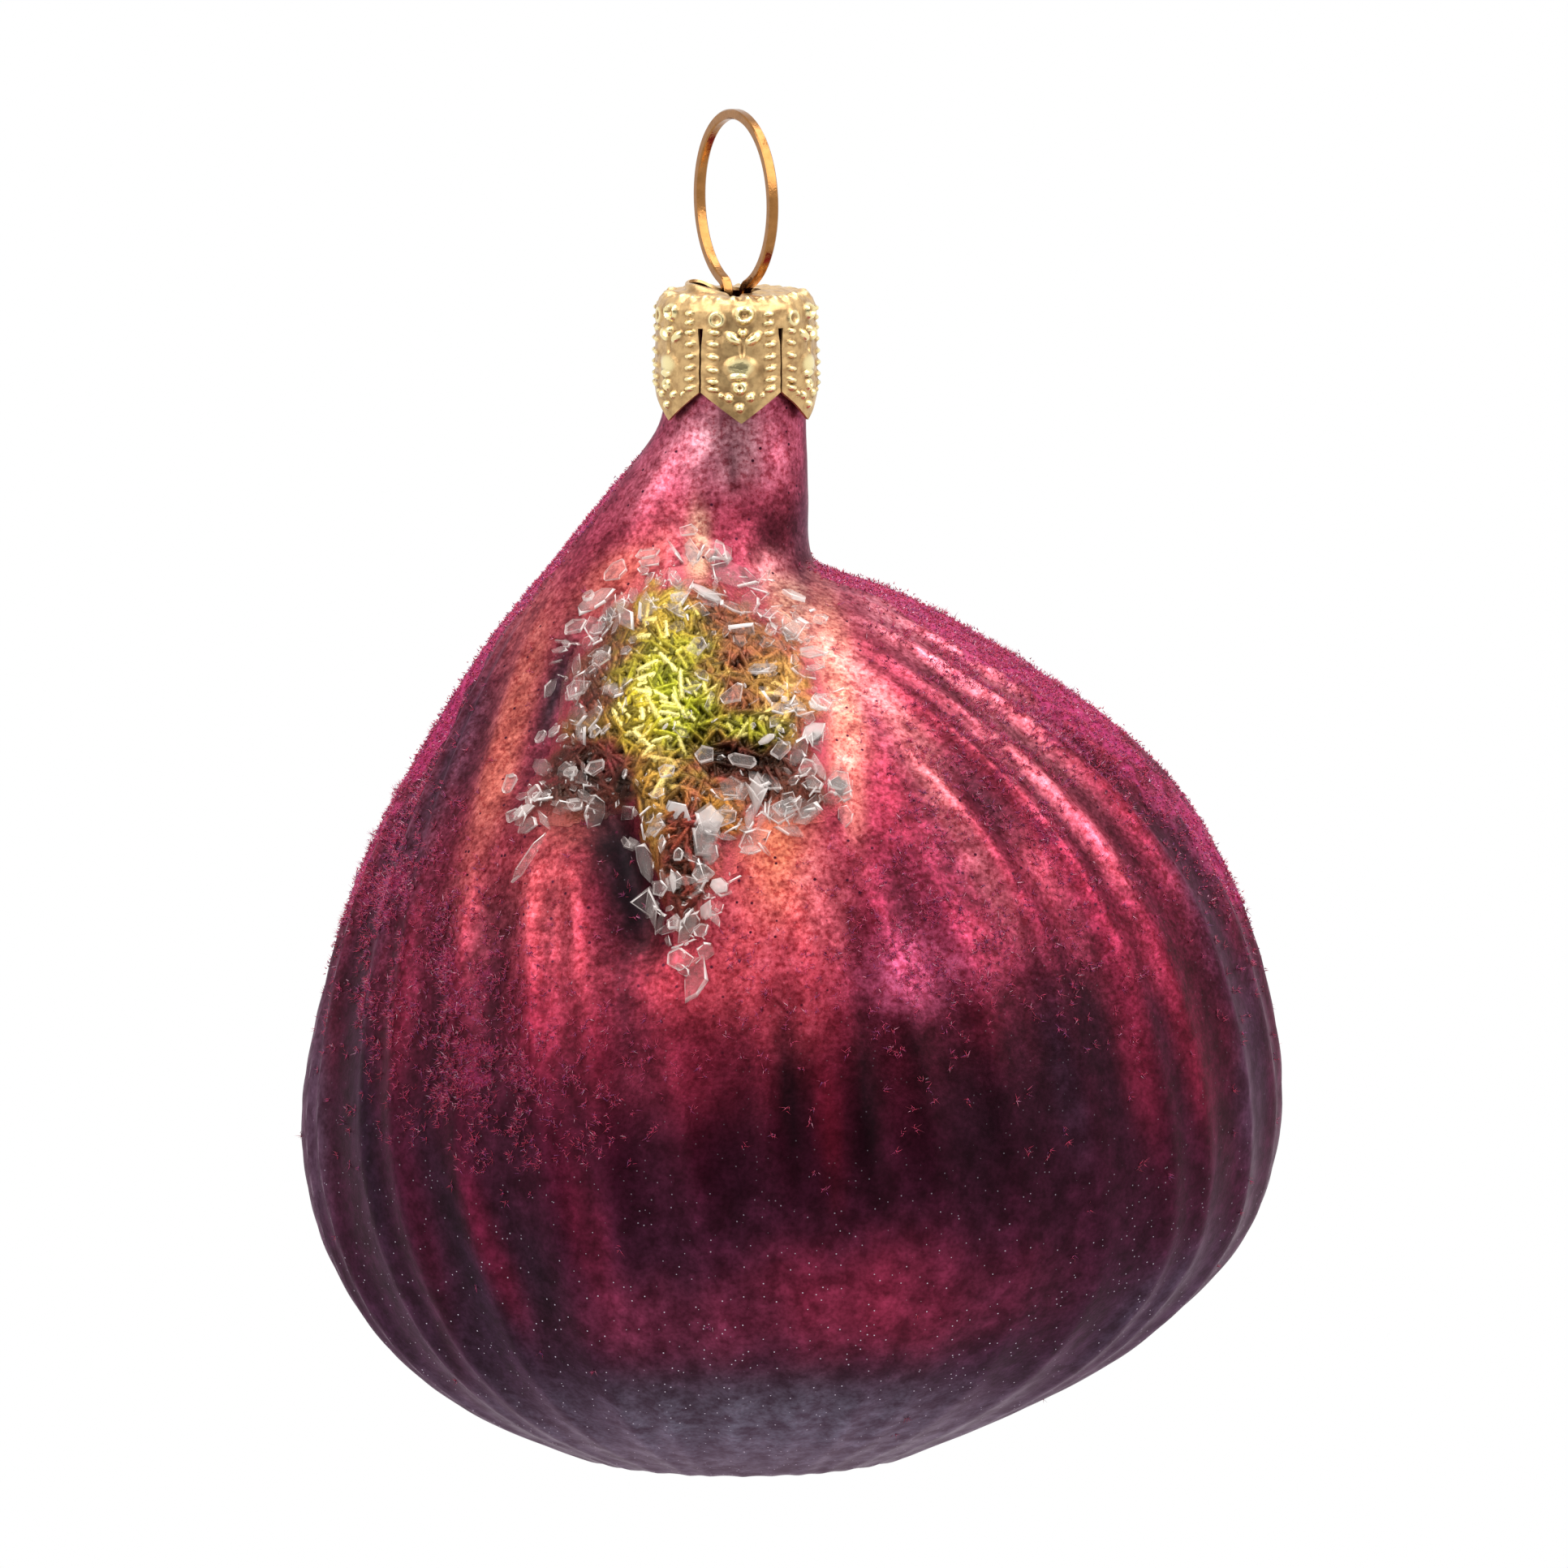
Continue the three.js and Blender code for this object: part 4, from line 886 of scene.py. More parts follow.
# Each strand has its own painted brightness, standing in for the light its crinkle catches, and painted
# shade darkens the crevices between the strands. The brightest get a painted glint where the glue is
# yellow.
yellow_share = smoothstep(tones[:, 1], 0.12, 0.34)
shine = rng.uniform(0, 1, STRANDS)[nearest]
raised = smoothstep(crinkle / MM, -0.16, 0.1)
inner = 1 - smoothstep(edge_share, 0.72, 0.97)
brightness = (0.2 + 0.85 * shine) * (0.25 + 0.75 * raised)
tones[:, :3] *= (1 - inner * (1 - brightness))[:, None]
set_point_colour(star.data, "tone", tones)
set_point_value(star.data, "glint", smoothstep(shine, 0.82, 0.94) * raised * thick * yellow_share)
finished(star, "SOLIDIFY", thickness=GLUE_UNDER, offset=-1)
finished(star, "DECIMATE", ratio=GLUE_DETAIL_KEPT)
for face in star.data.polygons:
    face.use_smooth = False
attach(star, "glass")
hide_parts("glue_star")

glitter, tree, shader = new_finish("crinkled_glitter_glue")
tone = from_mesh(tree, "tone", "Color")
glint = from_mesh(tree, "glint")
tone = mixed(tree, sums(tree, "MULTIPLY", glint, 0.7), tone, colour("fff0a0"))
dull = ramped(tree, grain(tree, 0.2 * MM, 2), 0.5, 0.72, 0, 0.5)
tone = mixed(tree, dull, tone, colour("8c7840"), "MULTIPLY")
set_inputs(tree, shader, {
    "Base Color": tone,
    "Metallic": 0.5,
    "Roughness": ramped(tree, grain(tree, 0.3 * MM), 0.35, 0.65, 0.14, 0.4),
    "Normal": bumped(tree, grain(tree, 0.16 * MM, 3), 0.05 * MM),
    "Specular IOR Level": 0.25,
    "Specular Tint": colour("e0b070"),
    "Coat Weight": 0.12,
    "Coat Roughness": 0.08,
})
star.data.materials.append(glitter)


# Crushed glass. Clear flakes of broken bulb, 0.5 to 4 mm long, strewn on the wet glue. The larger
# shards lie one by one; the small ones are a bed of hundreds, thickest along the star's edges.
clear_glass, tree, shader = new_finish("clear_broken_glass")
rim = from_mesh(tree, "rim")
set_inputs(tree, shader, {
    "Base Color": mixed(tree, rim, colour("e8d6d0"), colour("fff8f4")),
    "Alpha": ramped(tree, rim, 0, 1, 0.03, 0.82),
    "Roughness": ramped(tree, grain(tree, 0.5 * MM), 0.5, 0.7, 0.04, 0.2),
    "Normal": bumped(tree, grain(tree, 0.6 * MM, 1), 0.05 * MM),
})


def set_rims(mesh, rims):
    """Marks the broken edges of the glass, which scatter the light and look white"""
    attribute = mesh.attributes.new("rim", "FLOAT", "FACE")
    attribute.data.foreach_set("value", np.asarray(rims, dtype=np.float32))


SHARD_BEVEL = 0.07 * MM
SHARD_UNEVEN = 0.05 * MM
shard_names = sorted(name for name in frame["nodes"] if name.startswith("shard_"))
for index, name in enumerate(shard_names):
    node = frame["nodes"][name]
    shard = bpy.data.objects.new("broken_" + name, node.data.copy())
    bpy.context.collection.objects.link(shard)
    shard.data.materials.clear()
    edit(shard)
    bpy.ops.mesh.remove_doubles(threshold=0.001 * MM)
    bpy.ops.mesh.dissolve_limited(angle_limit=math.radians(3))
    bpy.ops.mesh.bevel(offset=SHARD_BEVEL, segments=1, affect="EDGES")
    done()
    points = points_of(shard.data)
    corner_numbers = np.arange(len(points)) + 40 * index
    points += SHARD_UNEVEN * np.stack([scatter(corner_numbers, salt) for salt in (1, 2, 3)], 1)
    move_points(shard.data, points)
    widest = max(shard.data.polygons, key=lambda face: face.area).normal
    aligned = np.array([abs(face.normal @ widest) for face in shard.data.polygons])
    walls = 1 - smoothstep(aligned, 0.6, 0.95)
    set_rims(shard.data, 0.1 + walls * (0.5 + 0.4 * scatter(np.arange(len(walls)), index)))
    shard.data.materials.append(clear_glass)
    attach(shard, "glass")
    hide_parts(name)


def flake_patterns(count):
    """Thin chips with four to seven corners, one unit long, each modelled from a filled circle"""
    patterns = []
    for index in range(count):
        corners = 4 + index % 4
        select_nothing()
        bpy.ops.mesh.primitive_circle_add(vertices=corners, radius=0.5, fill_type="NGON")
        chip = bpy.context.object
        edit(chip)
        bpy.ops.transform.resize(value=(1, 0.4 + 0.5 * ((index * 0.37) % 1), 1))
        extrude_by((0.03, 0.02, 1))
        bpy.ops.transform.resize(value=(0.86, 0.82, 1))
        bpy.ops.mesh.select_all(action="SELECT")
        bpy.ops.mesh.normals_make_consistent(inside=False)
        bpy.ops.mesh.quads_convert_to_tris()
        done()
        shape = points_of(chip.data)
        rows = np.arange(len(shape)) % corners
        shape[:, :2] *= (1 + 0.28 * scatter(rows + 10 * index, 4))[:, None]
        sides = sorted(chip.data.polygons, key=lambda side: sorted(side.vertices))
        faces = np.array([list(side.vertices) for side in sides])
        patterns.append((shape, faces, np.array([abs(side.normal.z) < 0.9 for side in sides])))
        bpy.data.objects.remove(chip)
    return patterns


def piece_of_triangles(name, points, faces):
    mesh = bpy.data.meshes.new(name)
    mesh.vertices.add(len(points))
    mesh.vertices.foreach_set("co", points.ravel())
    mesh.loops.add(faces.size)
    mesh.loops.foreach_set("vertex_index", faces.ravel())
    mesh.polygons.add(len(faces))
    mesh.polygons.foreach_set("loop_start", np.arange(len(faces)) * 3)
    mesh.update(calc_edges=True)
    piece = bpy.data.objects.new(name, mesh)
    bpy.context.collection.objects.link(piece)
    return piece


def strewn(name, patterns, places, turns, sizes):
    """One piece that holds a copy of a pattern at each place, turned and sized"""
    points, faces, rims, start = [], [], [], 0
    for index, (place, turn, size) in enumerate(zip(places, turns, sizes)):
        shape, sides, walls = patterns[index % len(patterns)]
        points.append((shape * size) @ turn.T + place)
        faces.append(sides + start)
        frosted = 0.45 if scatter(index, 8) > 0.84 else 0.12 + 0.12 * scatter(index, 7)
        rims.append(np.where(walls, 0.45 + 0.55 * scatter(index + np.arange(len(walls)), 6), frosted))
        start += len(shape)
    piece = piece_of_triangles(name, np.concatenate(points), np.concatenate(faces))
    set_rims(piece.data, np.concatenate(rims))
    return piece


def turned_from(normal, spin):
    """Turns +Z to the normal, after a spin about it"""
    normal = Vector(normal).normalized()
    return np.array(normal.to_track_quat("Z", "Y").to_matrix() @ Matrix.Rotation(spin, 3, "Z"))


# Larger chips lie mostly along the star's edge and on its arms, and crumbs everywhere on the glue.
# Every fourth chip, and each crumb, may stand on edge. They are laid so many mm over the glass, and
# heaped somewhat higher towards the middle.
CHIPS = 250
CRUMBS = 170
CHIP_THICK = 0.13 * MM
CHIP_LENGTHS = (1.0, 3.2)
CRUMB_LENGTHS = (0.25, 0.7)
CHIP_LEAN = 0.25
LOOSE_LEAN = 0.9
CHIPS_END = 1.08
CRUMBS_END = 1.02
THICKEST_AT = 0.88
THICKEST_OVER = 0.3
STREWN_ELSEWHERE = 0.12
LAID = (0.15, 0.7)
HEAPED = 0.35
places, turns, sizes = [], [], []
while len(places) < CHIPS + CRUMBS:
    chip = len(places) < CHIPS
    x, z = rng.uniform(-1, 1, 2) * STAR_REACH * 1.05 + (STAR_X, star_z)
    share = float(star_share(x, z))
    along_edge = math.exp(-((share - THICKEST_AT) / THICKEST_OVER) ** 2)
    chance = STREWN_ELSEWHERE + (1 - STREWN_ELSEWHERE) * along_edge
    if share > (CHIPS_END if chip else CRUMBS_END) or rng.uniform() > chance:
        continue
    hit, normal, _, _ = glass_tree.ray_cast(Vector((x, cad_low.y - 0.01, z)), Vector((0, 1, 0)))
    if hit is None:
        continue
    lean = Vector(rng.normal(0, CHIP_LEAN if chip and len(places) % 4 else LOOSE_LEAN, 3)) + normal
    if chip:
        length = MM * float(np.clip(rng.lognormal(0.5, 0.36), *CHIP_LENGTHS))
    else:
        length = MM * rng.uniform(*CRUMB_LENGTHS)
    lift = MM * (rng.uniform(*LAID) + HEAPED * max(0, 1 - share))
    places.append(np.array(hit + normal * lift))
    turns.append(turned_from(lean, rng.uniform(0, 6.28)))
    sizes.append(np.array((length, length, CHIP_THICK if chip else 0.6 * CHIP_THICK)))
flakes = strewn("crushed_glass_bed", flake_patterns(12), places, turns, sizes)
flakes.data.materials.append(clear_glass)
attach(flakes, "glass")


# Flock. Short cut fibres of magenta, crimson and purple, dusted on tacky lacquer: a felt on the
# shoulders and the back, thinning to single fibres on the front.
FELT_FIBRES = 55000
FELT_LENGTH = 0.2 * MM
FELT_THICK = 0.05 * MM
TUFTS = 5400
TUFT_FIBRES = 7
TUFT_LENGTH = 0.42 * MM
TUFT_THICK = 0.024 * MM
TUFT_SPREAD = 0.12 * MM
ROOT_SPREAD = 0.35 * MM
FELT_LEAN = 0.7
TUFT_LEAN = 1.3
LENGTH_SHARES = (0.6, 1.3)
FRONT_ENDS = 1.5 * MM

# One fibre is a three-sided spike, one unit long and thick
select_nothing()
bpy.ops.mesh.primitive_cone_add(
    vertices=3, radius1=1, depth=1, location=(0, 0, 0.5), end_fill_type="NGON")
cone = bpy.context.object
edit(cone)
done()
fibre_shape = points_of(cone.data)
fibre_faces = np.array([list(p.vertices) for p in cone.data.polygons])
bpy.data.objects.remove(cone)

# Felt fibres stand close; on the front they lie in small tufts that spread like a burst
skin_faces = [face for face in glass.data.polygons if max(face.vertices) < outer_count]
centres = np.array([face.center for face in skin_faces])
steady = in_order(centres)
centres = centres[steady]
outward = np.array([face.normal for face in skin_faces])[steady]
areas = np.array([face.area for face in skin_faces])[steady]
face_corners = np.array([list(face.vertices) for face in skin_faces])[steady]


def strewn_roots(count, cover):
    weights = areas * cover[face_corners].mean(axis=1)
    chosen = rng.choice(len(centres), count, p=weights / weights.sum())
    shift = ROOT_SPREAD * rng.normal(0, 1, (count, 3))
    normal = outward[chosen]
    return centres[chosen] + shift - np.sum(shift * normal, axis=1)[:, None] * normal, normal


felt_roots, felt_normals = strewn_roots(FELT_FIBRES, felt)
tuft_roots, tuft_normals = strewn_roots(TUFTS, thin_flock)
tuft_roots = np.repeat(tuft_roots, TUFT_FIBRES, axis=0)
tuft_normals = np.repeat(tuft_normals, TUFT_FIBRES, axis=0)
tuft_roots += TUFT_SPREAD * rng.normal(0, 1, tuft_roots.shape) * (1 - np.abs(tuft_normals))
roots = np.concatenate([felt_roots, tuft_roots])
normals = np.concatenate([felt_normals, tuft_normals])
fibres = len(roots)
in_felt = np.arange(fibres) < FELT_FIBRES

# They lean at random, but none points into the glass
leans = normals + rng.normal(0, 1, (fibres, 3)) * np.where(in_felt, FELT_LEAN, TUFT_LEAN)[:, None]
sunk = np.sum(leans * normals, axis=1) < 0.1
leans[sunk] -= np.sum(leans[sunk] * normals[sunk], axis=1)[:, None] * normals[sunk]
leans[sunk] += 0.25 * normals[sunk]
leans /= np.linalg.norm(leans, axis=1)[:, None]
lengths = np.where(in_felt, FELT_LENGTH, TUFT_LENGTH) * rng.uniform(*LENGTH_SHARES, fibres)
thicks = np.where(in_felt, FELT_THICK, TUFT_THICK)
side = np.cross(leans, rng.normal(0, 1, (fibres, 3)))
side /= np.linalg.norm(side, axis=1)[:, None]
other = np.cross(leans, side)
shades = rng.uniform(0, 1, fibres)

# The front's and the back's fibres are a piece each
in_front = roots[:, 1] < FRONT_ENDS
for name, half in (("flock_front", in_front), ("flock_back", ~in_front)):
    pick = np.flatnonzero(half)
    thick = thicks[pick][:, None]
    points = (roots[pick][:, None, :]
              + fibre_shape[:, 0:1] * (thick * side[pick])[:, None, :]
              + fibre_shape[:, 1:2] * (thick * other[pick])[:, None, :]
              + fibre_shape[:, 2:3] * (lengths[pick][:, None] * leans[pick])[:, None, :])
    corners = len(fibre_shape)
    faces = fibre_faces + corners * np.arange(len(pick))[:, None, None]
    flock = piece_of_triangles(name, points.reshape(-1, 3), faces.reshape(-1, 3))
    set_point_value(flock.data, "shade", np.repeat(shades[pick], corners))
    set_point_value(flock.data, "tip", np.tile(fibre_shape[:, 2], len(pick)))
    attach(flock, "glass")

fibre, tree, shader = new_finish("cut_flock_fibre")
shade = from_mesh(tree, "shade")
tones = add_node(tree, "ValToRGB", {"Fac": shade})
FIBRE_TONES = (
    (0.0, "6c0c2c"), (0.3, "bc143c"), (0.6, "c42458"), (0.78, "702c74"), (0.94, "cc3464"),
    (1.0, "f0c8d8"))
tones.color_ramp.elements[0].color = colour(FIBRE_TONES[0][1])
tones.color_ramp.elements[1].color = colour(FIBRE_TONES[-1][1])
for place, tone in FIBRE_TONES[1:-1]:
    tones.color_ramp.elements.new(place).color = colour(tone)
tip = from_mesh(tree, "tip")
tone = mixed(tree, ramped(tree, tip, 0.5, 1, 0, 0.15), tones.outputs[0], colour("e05a94"))
set_inputs(tree, shader, {
    "Base Color": tone, "Roughness": 0.55, "Sheen Weight": 0.3, "Sheen Tint": colour("e8a0c8")})
for name in ("flock_front", "flock_back"):
    bpy.data.objects[name].data.materials.append(fibre)


# Crown cap. Thin sheet, gold plated, stamped with beads, bars, rings and leaves, then drawn into a
# cup and slit into six pointed petals that grip the neck. The hanger comes up through its top.
CAP_SHEET = 0.25 * MM
CAP_ROLL = 0.9 * MM
CAP_BULGE = 0.12 * MM
PETALS = 6
PETAL_COLUMNS = 15
PETAL_SHORT = 0.25 * MM
SLIT_TOP = 2.0 * MM
SLIT_CLOSING = 0.045
PETAL_POINT = 2.0 * MM
HOLE_RADIUS = 1.97 * MM
TOP_RINGS = (2.6 * MM, 3.4 * MM)
SIDE_RINGS = 19
CAP_TURN = math.radians(4)
cap_top = cap_high.z
cap_height = cap_top - cap_low.z
cap_radius = NECK_RADIUS + SEAT_GAP + CAP_SHEET

select_nothing()
bpy.ops.mesh.primitive_circle_add(
    vertices=PETALS * PETAL_COLUMNS, radius=HOLE_RADIUS, location=(0, 0, cap_top))
cap = bpy.context.object
cap.name = cap.data.name = "stamped_crown_cap"
edit(cap)
radius, z = HOLE_RADIUS, cap_top
shoulder = [(cap_radius - CAP_ROLL + CAP_ROLL * math.sin(a), cap_top - CAP_ROLL + CAP_ROLL * math.cos(a))
            for a in np.radians((30, 60, 90))]
side_z = np.linspace(cap_top - CAP_ROLL, cap_low.z, SIDE_RINGS + 1)[1:]
cap_rings = [(ring_radius, cap_top) for ring_radius in (*TOP_RINGS, cap_radius - CAP_ROLL)]
cap_rings += shoulder + [(cap_radius, float(z)) for z in side_z]
for new_radius, new_z in cap_rings:
    extrude_by((0, 0, new_z - z))
    widen_by(new_radius / radius, new_radius / radius, (0, 0, new_z))
    radius, z = new_radius, new_z
bpy.ops.mesh.select_all(action="SELECT")
bpy.ops.mesh.normals_make_consistent(inside=False)
bpy.ops.mesh.select_mode(type="FACE")
done()

# One narrow column between two petals is cut away below the shoulder
column_step = 2 * math.pi / (PETALS * PETAL_COLUMNS)
for face in cap.data.polygons:
    a = math.atan2(face.center.y, face.center.x)
    column = round((a - math.pi / 2) / column_step - 0.5) % PETAL_COLUMNS
    face.select = column == PETAL_COLUMNS // 2 and face.center.z < cap_top - SLIT_TOP
bpy.ops.object.mode_set(mode="EDIT")
bpy.ops.mesh.delete(type="FACE")
bpy.ops.object.mode_set(mode="OBJECT")
finished(cap, "SUBSURF", levels=2, render_levels=2, subdivision_type="SIMPLE")

# The stamped pattern of one petal: kind, place across and down in mm, half sizes, height, turn
PETAL_STAMPS = (
    ("ring", -1.6, 1.45, 0.55, 0.55, 0.12, 0), ("ring", 0.2, 1.1, 0.62, 0.62, 0.22, 0),
    ("bead", 0.2, 1.1, 0.22, 0.22, -0.05, 0), ("bead", 0.1, 2.3, 0.3, 0.3, 0.22, 0),
    ("bead", -0.53, 2.65, 0.62, 0.33, 0.2, 38), ("bead", 0.8, 2.68, 0.62, 0.33, 0.2, -38),
    ("bead", 0.05, 3.45, 0.16, 0.55, -0.12, 0), ("bead", -0.05, 4.55, 1.05, 0.8, 0.12, 0),
    ("bead", -0.2, 5.2, 0.62, 0.27, 0.16, 0), ("ring", -0.1, 5.9, 0.34, 0.34, 0.16, 0),
    ("bead", -0.75, 6.55, 0.3, 0.3, 0.18, 0), ("bead", 0.55, 6.5, 0.3, 0.3, 0.18, 0),
    ("bead", -0.1, 7.2, 0.3, 0.32, 0.2, 0),
    *(("bead", -1.75, v, 0.42, 0.2, 0.16, 8) for v in (2.3, 3.06, 3.9, 4.75, 5.5, 6.0)),
    *(("bead", 1.85, v, 0.42, 0.2, 0.16, -8) for v in (1.1, 1.7, 2.35, 3.1, 3.9, 4.65, 5.4, 6.0)),
    ("bead", -1.25, 6.4, 0.2, 0.2, 0.12, 0), ("bead", 1.3, 6.4, 0.2, 0.2, 0.12, 0),
)
STAMP_STRENGTH = 1.5
RIM_BEADS = 30
RIM_BEADS_IN = 0.62 * MM
RIM_BEADS_WIDE = 0.35 * MM
RIM_BEADS_UP = 0.1 * MM
RIM_BEADS_OUT = 0.06 * MM
SIDE_UNEVEN = 0.05 * MM
TOP_UNEVEN = 0.14 * MM
PETAL_SPLAY = 0.16 * MM


def stamped(across, down):
    height = np.zeros(len(across))
    for kind, x, v, wide, high, deep, turn in PETAL_STAMPS:
        r = np.hypot(*turned_oval(across / MM - x, down / MM - v, wide, high, -turn))
        if kind == "ring":
            height += deep * MM * np.exp(-(((r - 0.75) * wide / 0.16) ** 2))
        else:
            height += deep * MM * np.clip(1 - r**2.2, 0, 1) ** 0.8
    return height


points = points_of(cap.data)
around = np.arctan2(points[:, 1], points[:, 0])
petal_pitch = 2 * math.pi / PETALS
from_middle = (around + math.pi / 2 + petal_pitch / 2) % petal_pitch - petal_pitch / 2
petal_number = np.round((around + math.pi / 2 - from_middle) / petal_pitch) % PETALS
half_petal = petal_pitch / 2 * (1 - 1 / PETAL_COLUMNS)
to_slit = np.clip(np.abs(from_middle) / half_petal, 0, 1)
down = cap_top - points[:, 2]
length = cap_height - PETAL_SHORT - PETAL_POINT * to_slit
below = down > SLIT_TOP
down = np.where(below, SLIT_TOP + (down - SLIT_TOP) * (length - SLIT_TOP) / (cap_height - SLIT_TOP), down)
flat = np.hypot(points[:, 0], points[:, 1])
on_side = smoothstep(down, 0.35 * CAP_ROLL, CAP_ROLL)
relief = STAMP_STRENGTH * stamped(from_middle * cap_radius, down) * on_side
raised = smoothstep(relief / MM, 0.04, 0.2)
relief += SIDE_UNEVEN * waves(points, 0.8 * MM, 41)
off_beads = (flat - cap_radius + RIM_BEADS_IN) / RIM_BEADS_WIDE
rim_beads = np.cos(around * RIM_BEADS) * np.exp(-(off_beads**2)) * (down < CAP_ROLL)
splay = PETAL_SPLAY * scatter(petal_number, 6) * smoothstep(down, SLIT_TOP, cap_height)
bulge = CAP_BULGE * np.sin(math.pi * np.clip(down / cap_height, 0, 1))
around += SLIT_CLOSING * from_middle * smoothstep(down, SLIT_TOP, SLIT_TOP + 1.5 * MM)
points[:, 0], points[:, 1] = flat * np.cos(around), flat * np.sin(around)
radial = np.stack([np.cos(around), np.sin(around)], axis=1)
points[:, :2] += radial * ((relief + splay + bulge) * on_side + RIM_BEADS_OUT * rim_beads)[:, None]
points[:, 2] = cap_top - down
points[:, 2] += (1 - on_side) * (RIM_BEADS_UP * rim_beads + TOP_UNEVEN * waves(points, 0.9 * MM, 42))

# The hole was punched through: a flap is curled up and back on the left, clear of the wire as the cap
# swivels, a small lip stands on the right, and the front is torn down in a V
FLAP_MIDDLE = math.radians(180)
FLAP_HALF = 0.9
FLAP_UP = 0.6 * MM
FLAP_BACK = 1.1 * MM
FLAP_ENDS = 3.6 * MM
LIP_MIDDLE = math.radians(-30)
LIP_HALF = 0.35
LIP_UP = 0.12 * MM
TEAR_MIDDLE = math.radians(-96)
TEAR_HALF = 0.16
TEAR_DOWN = 0.7 * MM
TEAR_ENDS = 4.4 * MM
by_hole = 1 - smoothstep(flat, HOLE_RADIUS, FLAP_ENDS)
flap = by_hole * np.exp(-(np.abs(angle_from(around, FLAP_MIDDLE) / FLAP_HALF) ** 4))
lip = by_hole * np.exp(-((angle_from(around, LIP_MIDDLE) / LIP_HALF) ** 2))
tear = 1 - smoothstep(flat, HOLE_RADIUS, TEAR_ENDS)
tear *= np.exp(-((angle_from(around, TEAR_MIDDLE) / TEAR_HALF) ** 2))
points[:, 2] += FLAP_UP * flap + LIP_UP * lip - TEAR_DOWN * tear
points[:, :2] += radial * (FLAP_BACK * flap)[:, None]
c, s = math.cos(CAP_TURN), math.sin(CAP_TURN)
points[:, 0], points[:, 1] = c * points[:, 0] - s * points[:, 1], s * points[:, 0] + c * points[:, 1]
move_points(cap.data, points)
# The raised stamping and the rim beads are marked for a painted highlight
set_point_value(cap.data, "raised", np.maximum(raised, smoothstep(rim_beads, 0.3, 0.9)))
finished(cap, "SOLIDIFY", thickness=0.8 * CAP_SHEET, offset=-1)
bpy.ops.object.shade_smooth_by_angle(angle=math.radians(50))
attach(cap, "cap")
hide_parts("crown_cap")

gold, tree, shader = new_finish("pale_gold_plate")
worn = grain(tree, 0.7 * MM, 4, 0.6)
tone = mixed(tree, ramped(tree, worn, 0.35, 0.7), colour("d4b07a"), colour("a88458"))
# Painted highlight: the raised stamping and rim beads are painted pale, and they are also smoother
stamp_highlight_mask = from_mesh(tree, "raised")
tone = mixed(tree, ramped(tree, stamp_highlight_mask, 0, 1, 0, 0.85), tone, colour("fff0b4"))
# Painted shade darkens the stamping's hollows
hollow_shade = add_node(tree, "NewGeometry").outputs["Pointiness"]
tone = mixed(tree, ramped(tree, hollow_shade, 0.5, 0.42, 0, 0.7), tone, colour("6e4a1c"), "MULTIPLY")
set_inputs(tree, shader, {
    "Base Color": tone,
    "Metallic": 0.85,
    "Roughness": ramped(tree, stamp_highlight_mask, 0, 1, 0.36, 0.16),
    "Normal": bumped(tree, grain(tree, 0.3 * MM, 3), 0.012 * MM),
})
cap.data.materials.append(gold)


# Hanger. One length of squarish drawn brass wire, bent to a round loop, with two legs that cross the
# cap's hole and spring apart against the inside of the neck.
WIRE = 0.65 * MM
WIRE_CORNERS = 20
WIRE_SQUARENESS = 7
LOOP_BORE = 10.7 * MM
LOOP_TURN = math.radians(-65)
LOOP_OPENING = math.radians(20)
WIRE_BEND = 0.9 * MM
LEG_SPLAY = math.radians(40)
LEG_EASE = 1.5 * MM
LEG_STRAIGHT = 12.4 * MM
LEG_TIP = 0.8 * MM
TIP_TURN = math.radians(25)
CAP_DIMPLE = 0.3 * MM
leg_offset = NECK_RADIUS - WALL - SEAT_GAP - WIRE / 2

select_nothing()
bpy.ops.mesh.primitive_circle_add(
    vertices=WIRE_CORNERS, radius=WIRE / 2, location=(0, 0, WIRE / 2), rotation=(0, math.pi / 2, 0))
wire = bpy.context.object
wire.name = wire.data.name = "bent_hanger_wire"
done()

# The drawn wire is square with rounded corners
points = points_of(wire.data)
section = points[:, 1:] - (0, WIRE / 2)
corner = np.arctan2(section[:, 1], section[:, 0])
flats = np.abs(np.cos(corner)) ** WIRE_SQUARENESS + np.abs(np.sin(corner)) ** WIRE_SQUARENESS
points[:, 1:] = section * (flats ** (-1 / WIRE_SQUARENESS))[:, None] + (0, WIRE / 2)
move_points(wire.data, points)
edit(wire)


class Bender:
    """Bends the selected end of the wire in the XZ plane, on from where it is"""

    def __init__(self, x, z, heading):
        self.at = Vector((x, 0, z))
        self.heading = heading

    def straight(self, length, steps=1):
        step = Vector((math.cos(self.heading), 0, math.sin(self.heading))) * length / steps
        for _ in range(steps):
            extrude_by(step)
            self.at += step

    def turn(self, radius, angle, steps):
        side = math.copysign(radius, angle)
        centre = self.at + Vector((-math.sin(self.heading), 0, math.cos(self.heading))) * side
        bpy.ops.mesh.spin(steps=steps, angle=angle, center=centre, axis=(0, 1, 0))
        self.heading += angle
        self.at = centre + Vector((math.sin(self.heading), 0, -math.cos(self.heading))) * side


